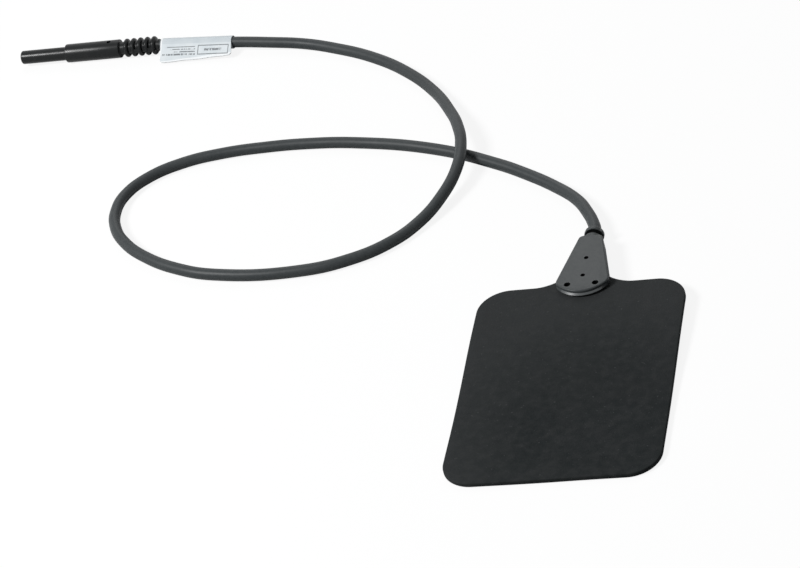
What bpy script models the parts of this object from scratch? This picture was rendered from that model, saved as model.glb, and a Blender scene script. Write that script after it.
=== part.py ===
"""Rubber electrode pad with a moulded connector, a lead, a marking tag and a socket plug.

The pad is a thin plate of conductive rubber. A tongue at its rear edge runs into a fan-shaped
moulding that holds the contact plate. A thin lead leaves the moulding through a round collar,
lies on the table in one loop, crosses over itself, and ends in a slim plug with a ribbed relief.

Units are metres, +Z is up, and the table is the plane z = 0. The pad points away along +Y
towards its connector. The origin is under the middle of the pad and connector together.
"""

from math import acos, asin, atan2, cos, hypot, pi, radians, sin, tan

import bmesh
import bpy
import numpy as np
from mathutils import Matrix, Vector

# Clearances
FIT_GAP = 0.0003              # between two pieces that touch or fit into each other

# Rubber pad
PAD_WIDTH = 0.060
PAD_LENGTH = 0.080
PAD_THICKNESS = 0.0014
PAD_CORNER_RADIUS = 0.009
PAD_EDGE_RADIUS = 0.00035
FLARE_REACH = 0.0074          # how far each concave flare runs along the rear edge
FLARE_RISE = 0.0030           # how far the flares lift the rear edge towards the tongue
BEND_LENGTH = 0.054           # stretch over which the pad climbs from the table to the connector
BEND_CUTS = 16
TONGUE_CORNER_RADIUS = 0.001  # at the end of the tongue, inside the connector

# Connector moulding
CONNECTOR_OVERLAP = 0.006     # how far its front lies over the pad's rear edge
CONNECTOR_LENGTH = 0.026
CONNECTOR_HEIGHT = 0.0058
CONNECTOR_WIDTH = 0.0153
CONNECTOR_CORNER_RADIUS = 0.003
CONNECTOR_CORNER_SETBACK = 0.0052  # from the front to the centres of the two round corners
CONNECTOR_RIM_RADIUS = 0.0009
NECK_WIDTH = 0.0066
SIDE_WALL = 0.0012            # beside the tongue
REAR_WALL = 0.0013            # behind the crimp barrel
NECK_RING_LENGTH = 0.0015     # round end of the neck
NECK_RING_DIAMETER = 0.0056
GROOVE_LENGTH = 0.0014
GROOVE_DIAMETER = 0.0038
COLLAR_LENGTH = 0.0016
COLLAR_DIAMETER = 0.0058
COLLAR_EDGE_RADIUS = 0.0006   # also of the neck ring
BIG_HOLE_DIAMETER = 0.00175
BIG_HOLE_SPACING = 0.0081
BIG_HOLE_INSET = 0.0035       # from the front of the moulding
SMALL_HOLE_DIAMETER = 0.00125
SMALL_HOLE_INSETS = (0.0073, 0.0153)

# Contact plate and the bare end of the conductor inside the moulding
PLATE_THICKNESS = 0.0004
PLATE_WIDTH = 0.0060
PLATE_SETBACK = 0.0012        # from the tongue's shoulder
PLATE_TAPER_LENGTH = 0.0035
PLATE_TAIL_WIDTH = 0.0016
CRIMP_WALL = 0.0004
CRIMP_LENGTH = 0.004
CONDUCTOR_DIAMETER = 0.0012

# Lead
LEAD_DIAMETER = 0.0036
LEAD_POINT_SPACING = 0.0067
LEAD_STUB_LENGTH = 0.001      # straight start out of the collar
LEAD_BEVEL_RESOLUTION = 2

# Socket contact inside the plug
SOCKET_BORE = 0.00205
SOCKET_WALL = 0.000225
SOCKET_WEB = 0.002            # solid metal between the socket and the crimp bore
SOCKET_CRIMP_DEPTH = 0.006
SOCKET_TAIL_LENGTH = 0.0038   # part of the contact that stands out behind the sleeve
SOCKET_SLOT_WIDTH = 0.0004
SOCKET_SLOT_LENGTH = 0.007

# Nose sleeve: its walls stand round the contact
SHANK_WALL = 0.0004
SHANK_LENGTH = 0.011
NOSE_STEP = 0.0003            # how far the visible nose stands out over its shank
NOSE_LENGTH = 0.0159
NOSE_LIP_LENGTH = 0.001
NOSE_LIP_OVERSIZE = 0.00035   # of the mouth over the socket's bore
NOSE_EDGE_RADIUS = 0.0005

# Plug body: its grip stands round the shank, its relief ends at the lead
PLUG_REAR = (-0.1633, 0.1769)  # where the lead meets the plug, on the table
PLUG_HEADING = radians(178.7)  # direction from the lead's end to the tip, from +X
GRIP_WALL = 0.00085
GRIP_LENGTH = 0.0194
GRIP_EDGE_CHAMFER = 0.0004
GRIP_HOLE_DIAMETER = 0.0014
GRIP_HOLE_PLACE = 0.0176      # from the plug's rear end
GRIP_HOLE_DEPTH = 0.0011
RELIEF_LENGTH = 0.014
RIB_COUNT = 5
FIRST_RIB_PLACE = 0.0019      # middle of the first rib, from the rear end
LAST_GROOVE_LENGTH = 0.0024   # from the middle of the last rib to the grip
RIB_BASE_WIDTH = 0.0016
RIB_CREST_WIDTH = 0.0006
RIB_SHOULDER_SHARE = 0.7      # height of the ribs' rounded shoulder, of the whole rib
RIB_REAR_DEPTH = 0.0011
RIB_FRONT_DEPTH = 0.0009
WEB_WIDTH = 0.0015
WEB_DROP = 0.00035            # how far the webs stay below the ribs' crests

# Marking tag folded round the lead next to the plug
TAG_HEADING = radians(-6.6)   # direction from the plug's rear end along the lead, from +X
TAG_STANDOFF = 0.0010
TAG_LENGTH = 0.0255
TAG_WRAP_THICKNESS = 0.0003
TAG_FLAG_THICKNESS = 0.0004
TAG_FLAG_REACH = 0.0072       # from the lead's axis, at the end next to the plug
TAG_FLAG_TAPER = 0.0028       # how much shorter the flag is at its other end
TAG_FLAG_TIP_HEIGHT = 0.0005
TAG_CORNER_RADIUS = 0.0016

# Facets
TURNED_SIDES = 32
HOLE_SIDES = 16
ARC_STEPS = 8
SHARP_ANGLE = radians(35)
SAME = 1e-7                   # distance under which two points are one

# Route of the lead over the table, from the collar to the tag, as x, y, z
LEAD_ROUTE = (
    (-0.0010, 0.0570, 0.0029),
    (-0.0035, 0.0628, 0.0027),
    (-0.0079, 0.0705, 0.0021),
    (-0.0157, 0.0785, 0.0018),
    (-0.0253, 0.0860, 0.0018),
    (-0.0351, 0.0925, 0.0018),
    (-0.0567, 0.1035, 0.0018),
    (-0.0836, 0.1110, 0.0018),
    (-0.0997, 0.1130, 0.0018),
    (-0.1134, 0.1132, 0.0018),
    (-0.1272, 0.1121, 0.0018),
    (-0.1399, 0.1088, 0.0018),
    (-0.1498, 0.1026, 0.0018),
    (-0.1553, 0.0946, 0.0018),
    (-0.1564, 0.0859, 0.0018),
    (-0.1543, 0.0774, 0.0018),
    (-0.1491, 0.0691, 0.0018),
    (-0.1405, 0.0610, 0.0018),
    (-0.1289, 0.0539, 0.0018),
    (-0.1159, 0.0493, 0.0018),
    (-0.0881, 0.0476, 0.0018),
    (-0.0746, 0.0508, 0.0018),
    (-0.0635, 0.0571, 0.0018),
    (-0.0554, 0.0664, 0.0019),
    (-0.0497, 0.0767, 0.0033),
    (-0.0465, 0.0877, 0.0051),
    (-0.0469, 0.0993, 0.0058),
    (-0.0498, 0.1101, 0.0050),
    (-0.0545, 0.1213, 0.0032),
    (-0.0619, 0.1345, 0.0019),
    (-0.0729, 0.1472, 0.0018),
    (-0.0864, 0.1580, 0.0018),
    (-0.1008, 0.1658, 0.0018),
    (-0.1120, 0.1699, 0.0021),
    (-0.1245, 0.1722, 0.0026),
)

# Sizes that follow from the ones above
CRIMP_DIAMETER = CONDUCTOR_DIAMETER + 2 * (FIT_GAP + CRIMP_WALL)
CONDUCTOR_BORE = CONDUCTOR_DIAMETER + 2 * FIT_GAP
SOCKET_DIAMETER = SOCKET_BORE + 2 * SOCKET_WALL
SLEEVE_BORE = SOCKET_DIAMETER + 2 * FIT_GAP
SHANK_DIAMETER = SLEEVE_BORE + 2 * SHANK_WALL
NOSE_DIAMETER = SHANK_DIAMETER + 2 * NOSE_STEP
GRIP_BORE = SHANK_DIAMETER + 2 * FIT_GAP
PLUG_DIAMETER = GRIP_BORE + 2 * GRIP_WALL
RIB_PITCH = (RELIEF_LENGTH - FIRST_RIB_PLACE - LAST_GROOVE_LENGTH) / (RIB_COUNT - 1)
LEAD_RADIUS = LEAD_DIAMETER / 2

# Places on the pad and the connector, along +Y and upwards
NECK_END_LENGTH = NECK_RING_LENGTH + GROOVE_LENGTH + COLLAR_LENGTH
OVERALL_LENGTH = PAD_LENGTH - CONNECTOR_OVERLAP + CONNECTOR_LENGTH + NECK_END_LENGTH
PAD_FRONT_Y = -OVERALL_LENGTH / 2
PAD_REAR_Y = PAD_FRONT_Y + PAD_LENGTH
SHOULDER_Y = PAD_REAR_Y + FLARE_RISE
CONNECTOR_FRONT_Y = PAD_REAR_Y - CONNECTOR_OVERLAP
CONNECTOR_REAR_Y = CONNECTOR_FRONT_Y + CONNECTOR_LENGTH
GROOVE_START_Y = CONNECTOR_REAR_Y + NECK_RING_LENGTH
COLLAR_START_Y = GROOVE_START_Y + GROOVE_LENGTH
COLLAR_END_Y = COLLAR_START_Y + COLLAR_LENGTH
CRIMP_END_Y = CONNECTOR_REAR_Y - REAR_WALL - FIT_GAP
CRIMP_START_Y = CRIMP_END_Y - CRIMP_LENGTH
TONGUE_TIP_Y = CRIMP_START_Y - FIT_GAP
BEND_END_Y = CONNECTOR_FRONT_Y - 2 * FIT_GAP
BEND_START_Y = BEND_END_Y - BEND_LENGTH
CONNECTOR_AXIS_Z = max(CONNECTOR_HEIGHT, COLLAR_DIAMETER) / 2
CONNECTOR_LOW_Z = CONNECTOR_AXIS_Z - CONNECTOR_HEIGHT / 2
CONNECTOR_HIGH_Z = CONNECTOR_AXIS_Z + CONNECTOR_HEIGHT / 2
PAD_RISE = CONNECTOR_AXIS_Z - PAD_THICKNESS / 2
SLOT_LOW_Z = PAD_RISE - FIT_GAP
SLOT_HIGH_Z = PAD_RISE + PAD_THICKNESS + FIT_GAP
POCKET_HIGH_Z = SLOT_HIGH_Z + PLATE_THICKNESS + FIT_GAP

# Places along the plug's axis, from its rear end
GRIP_FRONT = RELIEF_LENGTH + GRIP_LENGTH
NOSE_SHOULDER = GRIP_FRONT + FIT_GAP
NOSE_TIP = NOSE_SHOULDER + NOSE_LENGTH
SHANK_REAR = NOSE_SHOULDER - SHANK_LENGTH
SOCKET_FRONT = NOSE_TIP - NOSE_LIP_LENGTH - FIT_GAP
SOCKET_REAR = SHANK_REAR - SOCKET_TAIL_LENGTH
SOCKET_CRIMP_END = SOCKET_REAR + SOCKET_CRIMP_DEPTH
PLUG_AXIS_Z = PLUG_DIAMETER / 2


def clear_scene():
    for item in list(bpy.data.objects):
        bpy.data.objects.remove(item, do_unlink=True)


def plain_material(name, colour, roughness, metallic=0.0):
    material = bpy.data.materials.new(name)
    material.use_nodes = True
    shader = material.node_tree.nodes["Principled BSDF"]
    shader.inputs["Base Color"].default_value = (*colour, 1.0)
    shader.inputs["Roughness"].default_value = roughness
    shader.inputs["Metallic"].default_value = metallic
    return material


def new_object(name, mesh_maker, material=None):
    """Turn a bmesh into a linked object, with round faces shaded smooth."""
    mesh = bpy.data.meshes.new(name)
    bmesh.ops.recalc_face_normals(mesh_maker, faces=mesh_maker.faces)
    mesh_maker.to_mesh(mesh)
    mesh_maker.free()
    mesh.shade_smooth()
    mesh.set_sharp_from_angle(angle=SHARP_ANGLE)
    item = bpy.data.objects.new(name, mesh)
    bpy.context.scene.collection.objects.link(item)
    if material:
        mesh.materials.append(material)
    return item


def combine(target, helper, operation):
    """Join or cut a piece with a helper shape, and take the helper away."""
    step = target.modifiers.new(helper.name, "BOOLEAN")
    step.operation = operation
    step.solver = "EXACT"
    step.object = helper
    bpy.context.view_layer.update()
    evaluated = target.evaluated_get(bpy.context.evaluated_depsgraph_get())
    mesh = bpy.data.meshes.new_from_object(evaluated)
    target.modifiers.remove(step)
    target.data = mesh
    mesh.name = target.name
    mesh.shade_smooth()
    mesh.set_sharp_from_angle(angle=SHARP_ANGLE)
    bpy.data.objects.remove(helper, do_unlink=True)


def arc(centre, radius, start, end, steps=ARC_STEPS):
    """Points of an arc in the plane, with both ends, angles in radians."""
    points = []
    for index in range(steps + 1):
        angle = start + (end - start) * index / steps
        points.append((centre[0] + radius * cos(angle), centre[1] + radius * sin(angle)))
    return points


def mirrored_outline(right_half):
    """Close a right-hand half outline, listed front to rear, with its mirror image."""
    left_half = [(-x, y) for x, y in reversed(right_half) if abs(x) > SAME]
    return right_half + left_half


def prism(outline, low, high):
    """A flat plate with the given outline between two heights."""
    shape = bmesh.new()
    bottom = shape.faces.new([shape.verts.new((x, y, low)) for x, y in outline])
    lifted = bmesh.ops.extrude_face_region(shape, geom=[bottom])["geom"]
    top_verts = [item for item in lifted if isinstance(item, bmesh.types.BMVert)]
    bmesh.ops.translate(shape, verts=top_verts, vec=(0, 0, high - low))
    return shape


def box(low, high):
    """A block between two corners."""
    corners = ((low[0], low[1]), (high[0], low[1]), (high[0], high[1]), (low[0], high[1]))
    return prism(corners, low[2], high[2])


def round_rims(shape, heights, radius, segments):
    """Round every edge that lies flat at one of the given heights."""
    rim = []
    for edge in shape.edges:
        for height in heights:
            if all(abs(vert.co.z - height) < SAME for vert in edge.verts):
                rim.append(edge)
    bmesh.ops.bevel(shape, geom=rim, offset=radius, segments=segments, profile=0.5,
                    affect="EDGES", clamp_overlap=True, material=-1)


def turned(profile, sides=TURNED_SIDES):
    """Turn a profile of (place along Y, radius) round the Y axis.

    A profile that starts and ends on the axis makes a solid, any other one a ring.
    """
    shape = bmesh.new()
    verts = [shape.verts.new((radius, along, 0)) for along, radius in profile]
    edges = [shape.edges.new(pair) for pair in zip(verts, verts[1:])]
    if profile[0][1] > 0 or profile[-1][1] > 0:
        edges.append(shape.edges.new((verts[-1], verts[0])))
    bmesh.ops.spin(shape, geom=verts + edges, cent=(0, 0, 0), axis=(0, 1, 0), angle=2 * pi,
                   steps=sides, use_merge=True)
    bmesh.ops.remove_doubles(shape, verts=shape.verts, dist=SAME)
    return shape


def rod(diameter, start, end, sides=TURNED_SIDES):
    """A round bar along Y."""
    return turned([(start, 0), (start, diameter / 2), (end, diameter / 2), (end, 0)], sides)


def upright_pin(shape, diameter, place, low, high):
    """Add a vertical round pin to a shape."""
    middle = Matrix.Translation((place[0], place[1], (low + high) / 2))
    bmesh.ops.create_cone(shape, cap_ends=True, segments=HOLE_SIDES, radius1=diameter / 2,
                          radius2=diameter / 2, depth=high - low, matrix=middle)


def smooth_curve(points, spacing, first_way, last_way):
    """Even points on a cubic spline through the given ones, with unit directions at its ends."""
    knots = np.array(points)
    chords = np.linalg.norm(np.diff(knots, axis=0), axis=1)
    places = np.concatenate(([0.0], np.cumsum(chords)))
    count = len(knots)
    system = np.eye(count)
    bends = np.zeros((count, 3))
    for i in range(1, count - 1):
        before = chords[i - 1]
        after = chords[i]
        system[i, i - 1:i + 2] = (before, 2 * (before + after), after)
        bends[i] = 6 * ((knots[i + 1] - knots[i]) / after - (knots[i] - knots[i - 1]) / before)
    system[0, :2] = (2 * chords[0], chords[0])
    bends[0] = 6 * ((knots[1] - knots[0]) / chords[0] - np.array(first_way))
    system[-1, -2:] = (chords[-1], 2 * chords[-1])
    bends[-1] = 6 * (np.array(last_way) - (knots[-1] - knots[-2]) / chords[-1])
    bends = np.linalg.solve(system, bends)
    steps = int(round(places[-1] / spacing))
    result = []
    for place in np.linspace(0, places[-1], steps + 1):
        i = min(int(np.searchsorted(places, place, side="right")) - 1, count - 2)
        width = chords[i]
        right = (place - places[i]) / width
        left = 1 - right
        sag = (left ** 3 - left) * bends[i] + (right ** 3 - right) * bends[i + 1]
        result.append(left * knots[i] + right * knots[i + 1] + sag * width ** 2 / 6)
    return result


def pad_height(y):
    """How far the pad's underside is lifted at a place along Y, as a soft step."""
    share = min(max((y - BEND_START_Y) / BEND_LENGTH, 0), 1)
    return PAD_RISE * share * share * (3 - 2 * share)


def fan_half_outline():
    """Right half of the connector's plan: nose arc, round corner, straight side, neck.

    The nose arc touches the front and both corner arcs, and the side is a tangent of its corner.
    """
    corner = CONNECTOR_CORNER_RADIUS
    setback = CONNECTOR_CORNER_SETBACK
    corner_x = CONNECTOR_WIDTH / 2 - corner
    nose = (corner_x ** 2 + setback ** 2 - corner ** 2) / (2 * (setback - corner))
    turn = asin(corner_x / (nose - corner))
    corner_centre = (corner_x, CONNECTOR_FRONT_Y + setback)
    inward = corner_x - NECK_WIDTH / 2
    forward = CONNECTOR_REAR_Y - corner_centre[1]
    side_normal = asin(corner / hypot(inward, forward)) + atan2(inward, forward)
    points = arc((0, CONNECTOR_FRONT_Y + nose), nose, -pi / 2, turn - pi / 2)
    points += arc(corner_centre, corner, turn - pi / 2, side_normal)[1:]
    points.append((NECK_WIDTH / 2, CONNECTOR_REAR_Y))
    return points, side_normal


def connector_half_width(y):
    """Half the connector's width at a place along Y, between its straight sides."""
    side_normal = fan_half_outline()[1]
    return NECK_WIDTH / 2 + (CONNECTOR_REAR_Y - y) * tan(side_normal)


def tongue_half_width(y):
    """Half the tongue's width at a place along Y, inside the connector's side walls."""
    return connector_half_width(y) - SIDE_WALL - FIT_GAP


def make_electrode_pad(material):
    half_width = PAD_WIDTH / 2
    corner_x = half_width - PAD_CORNER_RADIUS
    front_corner = (corner_x, PAD_FRONT_Y + PAD_CORNER_RADIUS)
    rear_corner = (corner_x, PAD_REAR_Y - PAD_CORNER_RADIUS)
    flare_radius = (FLARE_REACH ** 2 + FLARE_RISE ** 2) / (2 * FLARE_RISE)
    flare_turn = asin(FLARE_REACH / flare_radius)
    flare_centre = (connector_half_width(SHOULDER_Y) + FLARE_REACH, PAD_REAR_Y + flare_radius)
    tip_half_width = tongue_half_width(TONGUE_TIP_Y)
    tip_centre = (tip_half_width - TONGUE_CORNER_RADIUS, TONGUE_TIP_Y - TONGUE_CORNER_RADIUS)
    outline = arc(front_corner, PAD_CORNER_RADIUS, -pi / 2, 0)
    outline += arc(rear_corner, PAD_CORNER_RADIUS, 0, pi / 2)
    outline += arc(flare_centre, flare_radius, -pi / 2, -pi / 2 - flare_turn, 5)
    outline.append((tongue_half_width(SHOULDER_Y), SHOULDER_Y))
    outline += arc(tip_centre, TONGUE_CORNER_RADIUS, 0, pi / 2, 3)
    shape = prism(mirrored_outline(outline), 0, PAD_THICKNESS)
    round_rims(shape, (0, PAD_THICKNESS), PAD_EDGE_RADIUS, 2)
    for index in range(BEND_CUTS + 1):
        cut_y = BEND_START_Y + BEND_LENGTH * index / BEND_CUTS
        bmesh.ops.bisect_plane(shape, geom=list(shape.verts) + list(shape.edges) + list(shape.faces),
                               plane_co=(0, cut_y, 0), plane_no=(0, 1, 0), dist=SAME)
    for vert in shape.verts:
        vert.co.z += pad_height(vert.co.y)
    new_object("electrode_pad", shape, material)


def make_connector(material):
    shape = prism(mirrored_outline(fan_half_outline()[0]), CONNECTOR_LOW_Z, CONNECTOR_HIGH_Z)
    round_rims(shape, (CONNECTOR_LOW_Z, CONNECTOR_HIGH_Z), CONNECTOR_RIM_RADIUS, 3)
    connector = new_object("connector_moulding", shape, material)
    beyond = CONNECTOR_WIDTH

    # Round end of the neck, groove and collar, turned about the lead's axis
    ring_radius = NECK_RING_DIAMETER / 2
    groove_radius = GROOVE_DIAMETER / 2
    collar_radius = COLLAR_DIAMETER / 2
    soft = COLLAR_EDGE_RADIUS
    root_y = CONNECTOR_REAR_Y - REAR_WALL / 2
    profile = [(root_y, 0), (root_y, ring_radius)]
    profile += arc((GROOVE_START_Y - soft, ring_radius - soft), soft, pi / 2, 0, 3)
    profile += [(GROOVE_START_Y, groove_radius), (COLLAR_START_Y, groove_radius)]
    profile += arc((COLLAR_START_Y + soft, collar_radius - soft), soft, pi, pi / 2, 3)
    profile += arc((COLLAR_END_Y - soft, collar_radius - soft), soft, pi / 2, 0, 3)
    profile.append((COLLAR_END_Y, 0))
    collar = new_object("collar_shape", turned(profile))
    collar.location.z = CONNECTOR_AXIS_Z
    combine(connector, collar, "UNION")

    # Slot for the pad, open at the front and at both sides
    slot_rear_y = SHOULDER_Y + FIT_GAP
    slot = box((-beyond, CONNECTOR_FRONT_Y - beyond, SLOT_LOW_Z), (beyond, slot_rear_y, SLOT_HIGH_Z))
    combine(connector, new_object("pad_slot", slot), "DIFFERENCE")

    # Pocket for the tongue with the contact plate on it
    pocket_rear_y = TONGUE_TIP_Y + FIT_GAP
    pocket = [(tongue_half_width(y) + FIT_GAP, y) for y in (slot_rear_y - FIT_GAP, pocket_rear_y)]
    pocket = prism(mirrored_outline(pocket), SLOT_LOW_Z, POCKET_HIGH_Z)
    combine(connector, new_object("tongue_pocket", pocket), "DIFFERENCE")

    # Space for the crimp barrel behind the tongue, and the bore for the conductor
    room = CRIMP_DIAMETER / 2 + FIT_GAP
    barrel_room = box((-room, pocket_rear_y - FIT_GAP, CONNECTOR_AXIS_Z - room),
                      (room, CRIMP_END_Y + FIT_GAP, max(POCKET_HIGH_Z, CONNECTOR_AXIS_Z + room)))
    combine(connector, new_object("barrel_room", barrel_room), "DIFFERENCE")
    bore = new_object("bore", rod(CONDUCTOR_BORE, CRIMP_END_Y, COLLAR_END_Y + beyond, HOLE_SIDES))
    bore.location.z = CONNECTOR_AXIS_Z
    combine(connector, bore, "DIFFERENCE")

    # Round holes in the upper face, two large ones at the front and two small on the middle line
    holes = bmesh.new()
    for side in (-1, 1):
        place = (side * BIG_HOLE_SPACING / 2, CONNECTOR_FRONT_Y + BIG_HOLE_INSET)
        upright_pin(holes, BIG_HOLE_DIAMETER, place, CONNECTOR_AXIS_Z, 2 * CONNECTOR_HIGH_Z)
    for inset in SMALL_HOLE_INSETS:
        place = (0, CONNECTOR_FRONT_Y + inset)
        upright_pin(holes, SMALL_HOLE_DIAMETER, place, CONNECTOR_AXIS_Z, 2 * CONNECTOR_HIGH_Z)
    combine(connector, new_object("face_holes", holes), "DIFFERENCE")


def make_contact_plate(material):
    """Thin plate on the tongue, with its tail rolled into a crimp barrel."""
    tail = PLATE_TAIL_WIDTH / 2
    taper_start_y = TONGUE_TIP_Y - PLATE_TAPER_LENGTH
    half = [(PLATE_WIDTH / 2, SHOULDER_Y + PLATE_SETBACK), (PLATE_WIDTH / 2, taper_start_y)]
    half += [(tail, TONGUE_TIP_Y), (tail, CRIMP_END_Y)]
    shape = prism(mirrored_outline(half), SLOT_HIGH_Z, SLOT_HIGH_Z + PLATE_THICKNESS)
    plate = new_object("contact_plate", shape, material)
    inner = CONDUCTOR_BORE / 2
    outer = CRIMP_DIAMETER / 2
    ring = [(CRIMP_START_Y, inner), (CRIMP_START_Y, outer), (CRIMP_END_Y, outer), (CRIMP_END_Y, inner)]
    barrel = new_object("crimp_barrel", turned(ring, HOLE_SIDES))
    barrel.location.z = CONNECTOR_AXIS_Z
    combine(plate, barrel, "UNION")


def make_pad_conductor(material):
    shape = rod(CONDUCTOR_DIAMETER, CRIMP_START_Y + CRIMP_LENGTH / 4, COLLAR_END_Y, HOLE_SIDES)
    conductor = new_object("pad_conductor", shape, material)
    conductor.location.z = CONNECTOR_AXIS_Z


def axis_frame(name, heading):
    """An empty at the plug's rear end whose +Y runs along the given heading."""
    frame = bpy.data.objects.new(name, None)
    frame.location = (PLUG_REAR[0], PLUG_REAR[1], PLUG_AXIS_Z)
    frame.rotation_euler = (0, 0, heading - pi / 2)
    bpy.context.scene.collection.objects.link(frame)
    return frame


def core_radius(place):
    """Radius of the relief's core, which grows from the lead to the grip."""
    depth = RIB_REAR_DEPTH + (RIB_FRONT_DEPTH - RIB_REAR_DEPTH) * place / RELIEF_LENGTH
    return PLUG_DIAMETER / 2 - depth


def plug_body_profile():
    """Ring profile of relief and grip: outside from rear to front, then the stepped bore."""
    outer = PLUG_DIAMETER / 2
    profile = [(0, CONDUCTOR_BORE / 2), (0, core_radius(0))]
    for index in range(RIB_COUNT):
        place = FIRST_RIB_PLACE + index * RIB_PITCH
        core = core_radius(place)
        shoulder = core + RIB_SHOULDER_SHARE * (outer - core)
        base = RIB_BASE_WIDTH / 2
        crest = RIB_CREST_WIDTH / 2
        middle = (base + crest) / 2
        profile += [(place - base, core), (place - middle, shoulder), (place - crest, outer)]
        profile += [(place + crest, outer), (place + middle, shoulder), (place + base, core)]
    profile += [(RELIEF_LENGTH, core_radius(RELIEF_LENGTH)), (RELIEF_LENGTH, outer)]
    profile += [(GRIP_FRONT - GRIP_EDGE_CHAMFER, outer), (GRIP_FRONT, outer - GRIP_EDGE_CHAMFER)]
    profile += [(GRIP_FRONT, GRIP_BORE / 2), (SHANK_REAR - FIT_GAP, GRIP_BORE / 2)]
    profile += [(SHANK_REAR - FIT_GAP, SLEEVE_BORE / 2), (SOCKET_REAR - FIT_GAP, SLEEVE_BORE / 2)]
    profile.append((SOCKET_REAR - FIT_GAP, CONDUCTOR_BORE / 2))
    return profile


def make_plug_body(frame, material):
    body = new_object("plug_body", turned(plug_body_profile()), material)
    body.parent = frame

    # Webs at both sides of every second groove between the ribs
    for index in range(0, RIB_COUNT - 1, 2):
        start = FIRST_RIB_PLACE + index * RIB_PITCH
        inner = (CONDUCTOR_BORE / 2 + core_radius(start)) / 2
        outer = PLUG_DIAMETER / 2 - WEB_DROP
        for side in (-1, 1):
            reach = sorted((side * inner, side * outer))
            web = new_object("relief_web", box((reach[0], start, -WEB_WIDTH / 2),
                                               (reach[1], start + RIB_PITCH, WEB_WIDTH / 2)))
            web.parent = frame
            combine(body, web, "UNION")

    # Small blind hole in the top of the grip
    hole = bmesh.new()
    hole_low = PLUG_DIAMETER / 2 - GRIP_HOLE_DEPTH
    upright_pin(hole, GRIP_HOLE_DIAMETER, (0, GRIP_HOLE_PLACE), hole_low, PLUG_DIAMETER)
    cutter = new_object("grip_hole", hole)
    cutter.parent = frame
    combine(body, cutter, "DIFFERENCE")


def make_nose_sleeve(frame, material):
    """Stiff sleeve round the socket: a thinner shank inside the grip, a rounded lip at the tip."""
    soft = NOSE_EDGE_RADIUS
    outer = NOSE_DIAMETER / 2
    bore = SLEEVE_BORE / 2
    lip = (SOCKET_BORE + NOSE_LIP_OVERSIZE) / 2
    lip_chamfer = soft / 2
    profile = [(SHANK_REAR, bore), (SHANK_REAR, SHANK_DIAMETER / 2)]
    profile += [(NOSE_SHOULDER, SHANK_DIAMETER / 2), (NOSE_SHOULDER, outer)]
    profile += arc((NOSE_TIP - soft, outer - soft), soft, pi / 2, 0, 3)
    profile += [(NOSE_TIP, lip + lip_chamfer), (NOSE_TIP - lip_chamfer, lip)]
    profile += [(NOSE_TIP - NOSE_LIP_LENGTH, lip), (NOSE_TIP - NOSE_LIP_LENGTH, bore)]
    sleeve = new_object("nose_sleeve", turned(profile), material)
    sleeve.parent = frame


def make_socket_contact(frame, material):
    """Turned contact: a slotted socket at the front, a crimp bore at the rear."""
    outer = SOCKET_DIAMETER / 2
    socket_end = SOCKET_CRIMP_END + SOCKET_WEB
    profile = [(socket_end, 0), (socket_end, SOCKET_BORE / 2), (SOCKET_FRONT, SOCKET_BORE / 2)]
    profile += [(SOCKET_FRONT, outer), (SOCKET_REAR, outer), (SOCKET_REAR, CONDUCTOR_BORE / 2)]
    profile += [(SOCKET_CRIMP_END, CONDUCTOR_BORE / 2), (SOCKET_CRIMP_END, 0)]
    socket = new_object("socket_contact", turned(profile), material)
    socket.parent = frame
    half = SOCKET_SLOT_WIDTH / 2
    slot = new_object("socket_slot", box((-half, SOCKET_FRONT - SOCKET_SLOT_LENGTH, -2 * outer),
                                         (half, SOCKET_FRONT + outer, 2 * outer)))
    slot.parent = frame
    combine(socket, slot, "DIFFERENCE")


def make_plug_conductor(frame, material):
    shape = rod(CONDUCTOR_DIAMETER, 0, SOCKET_CRIMP_END - FIT_GAP, HOLE_SIDES)
    conductor = new_object("plug_conductor", shape, material)
    conductor.parent = frame


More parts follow.
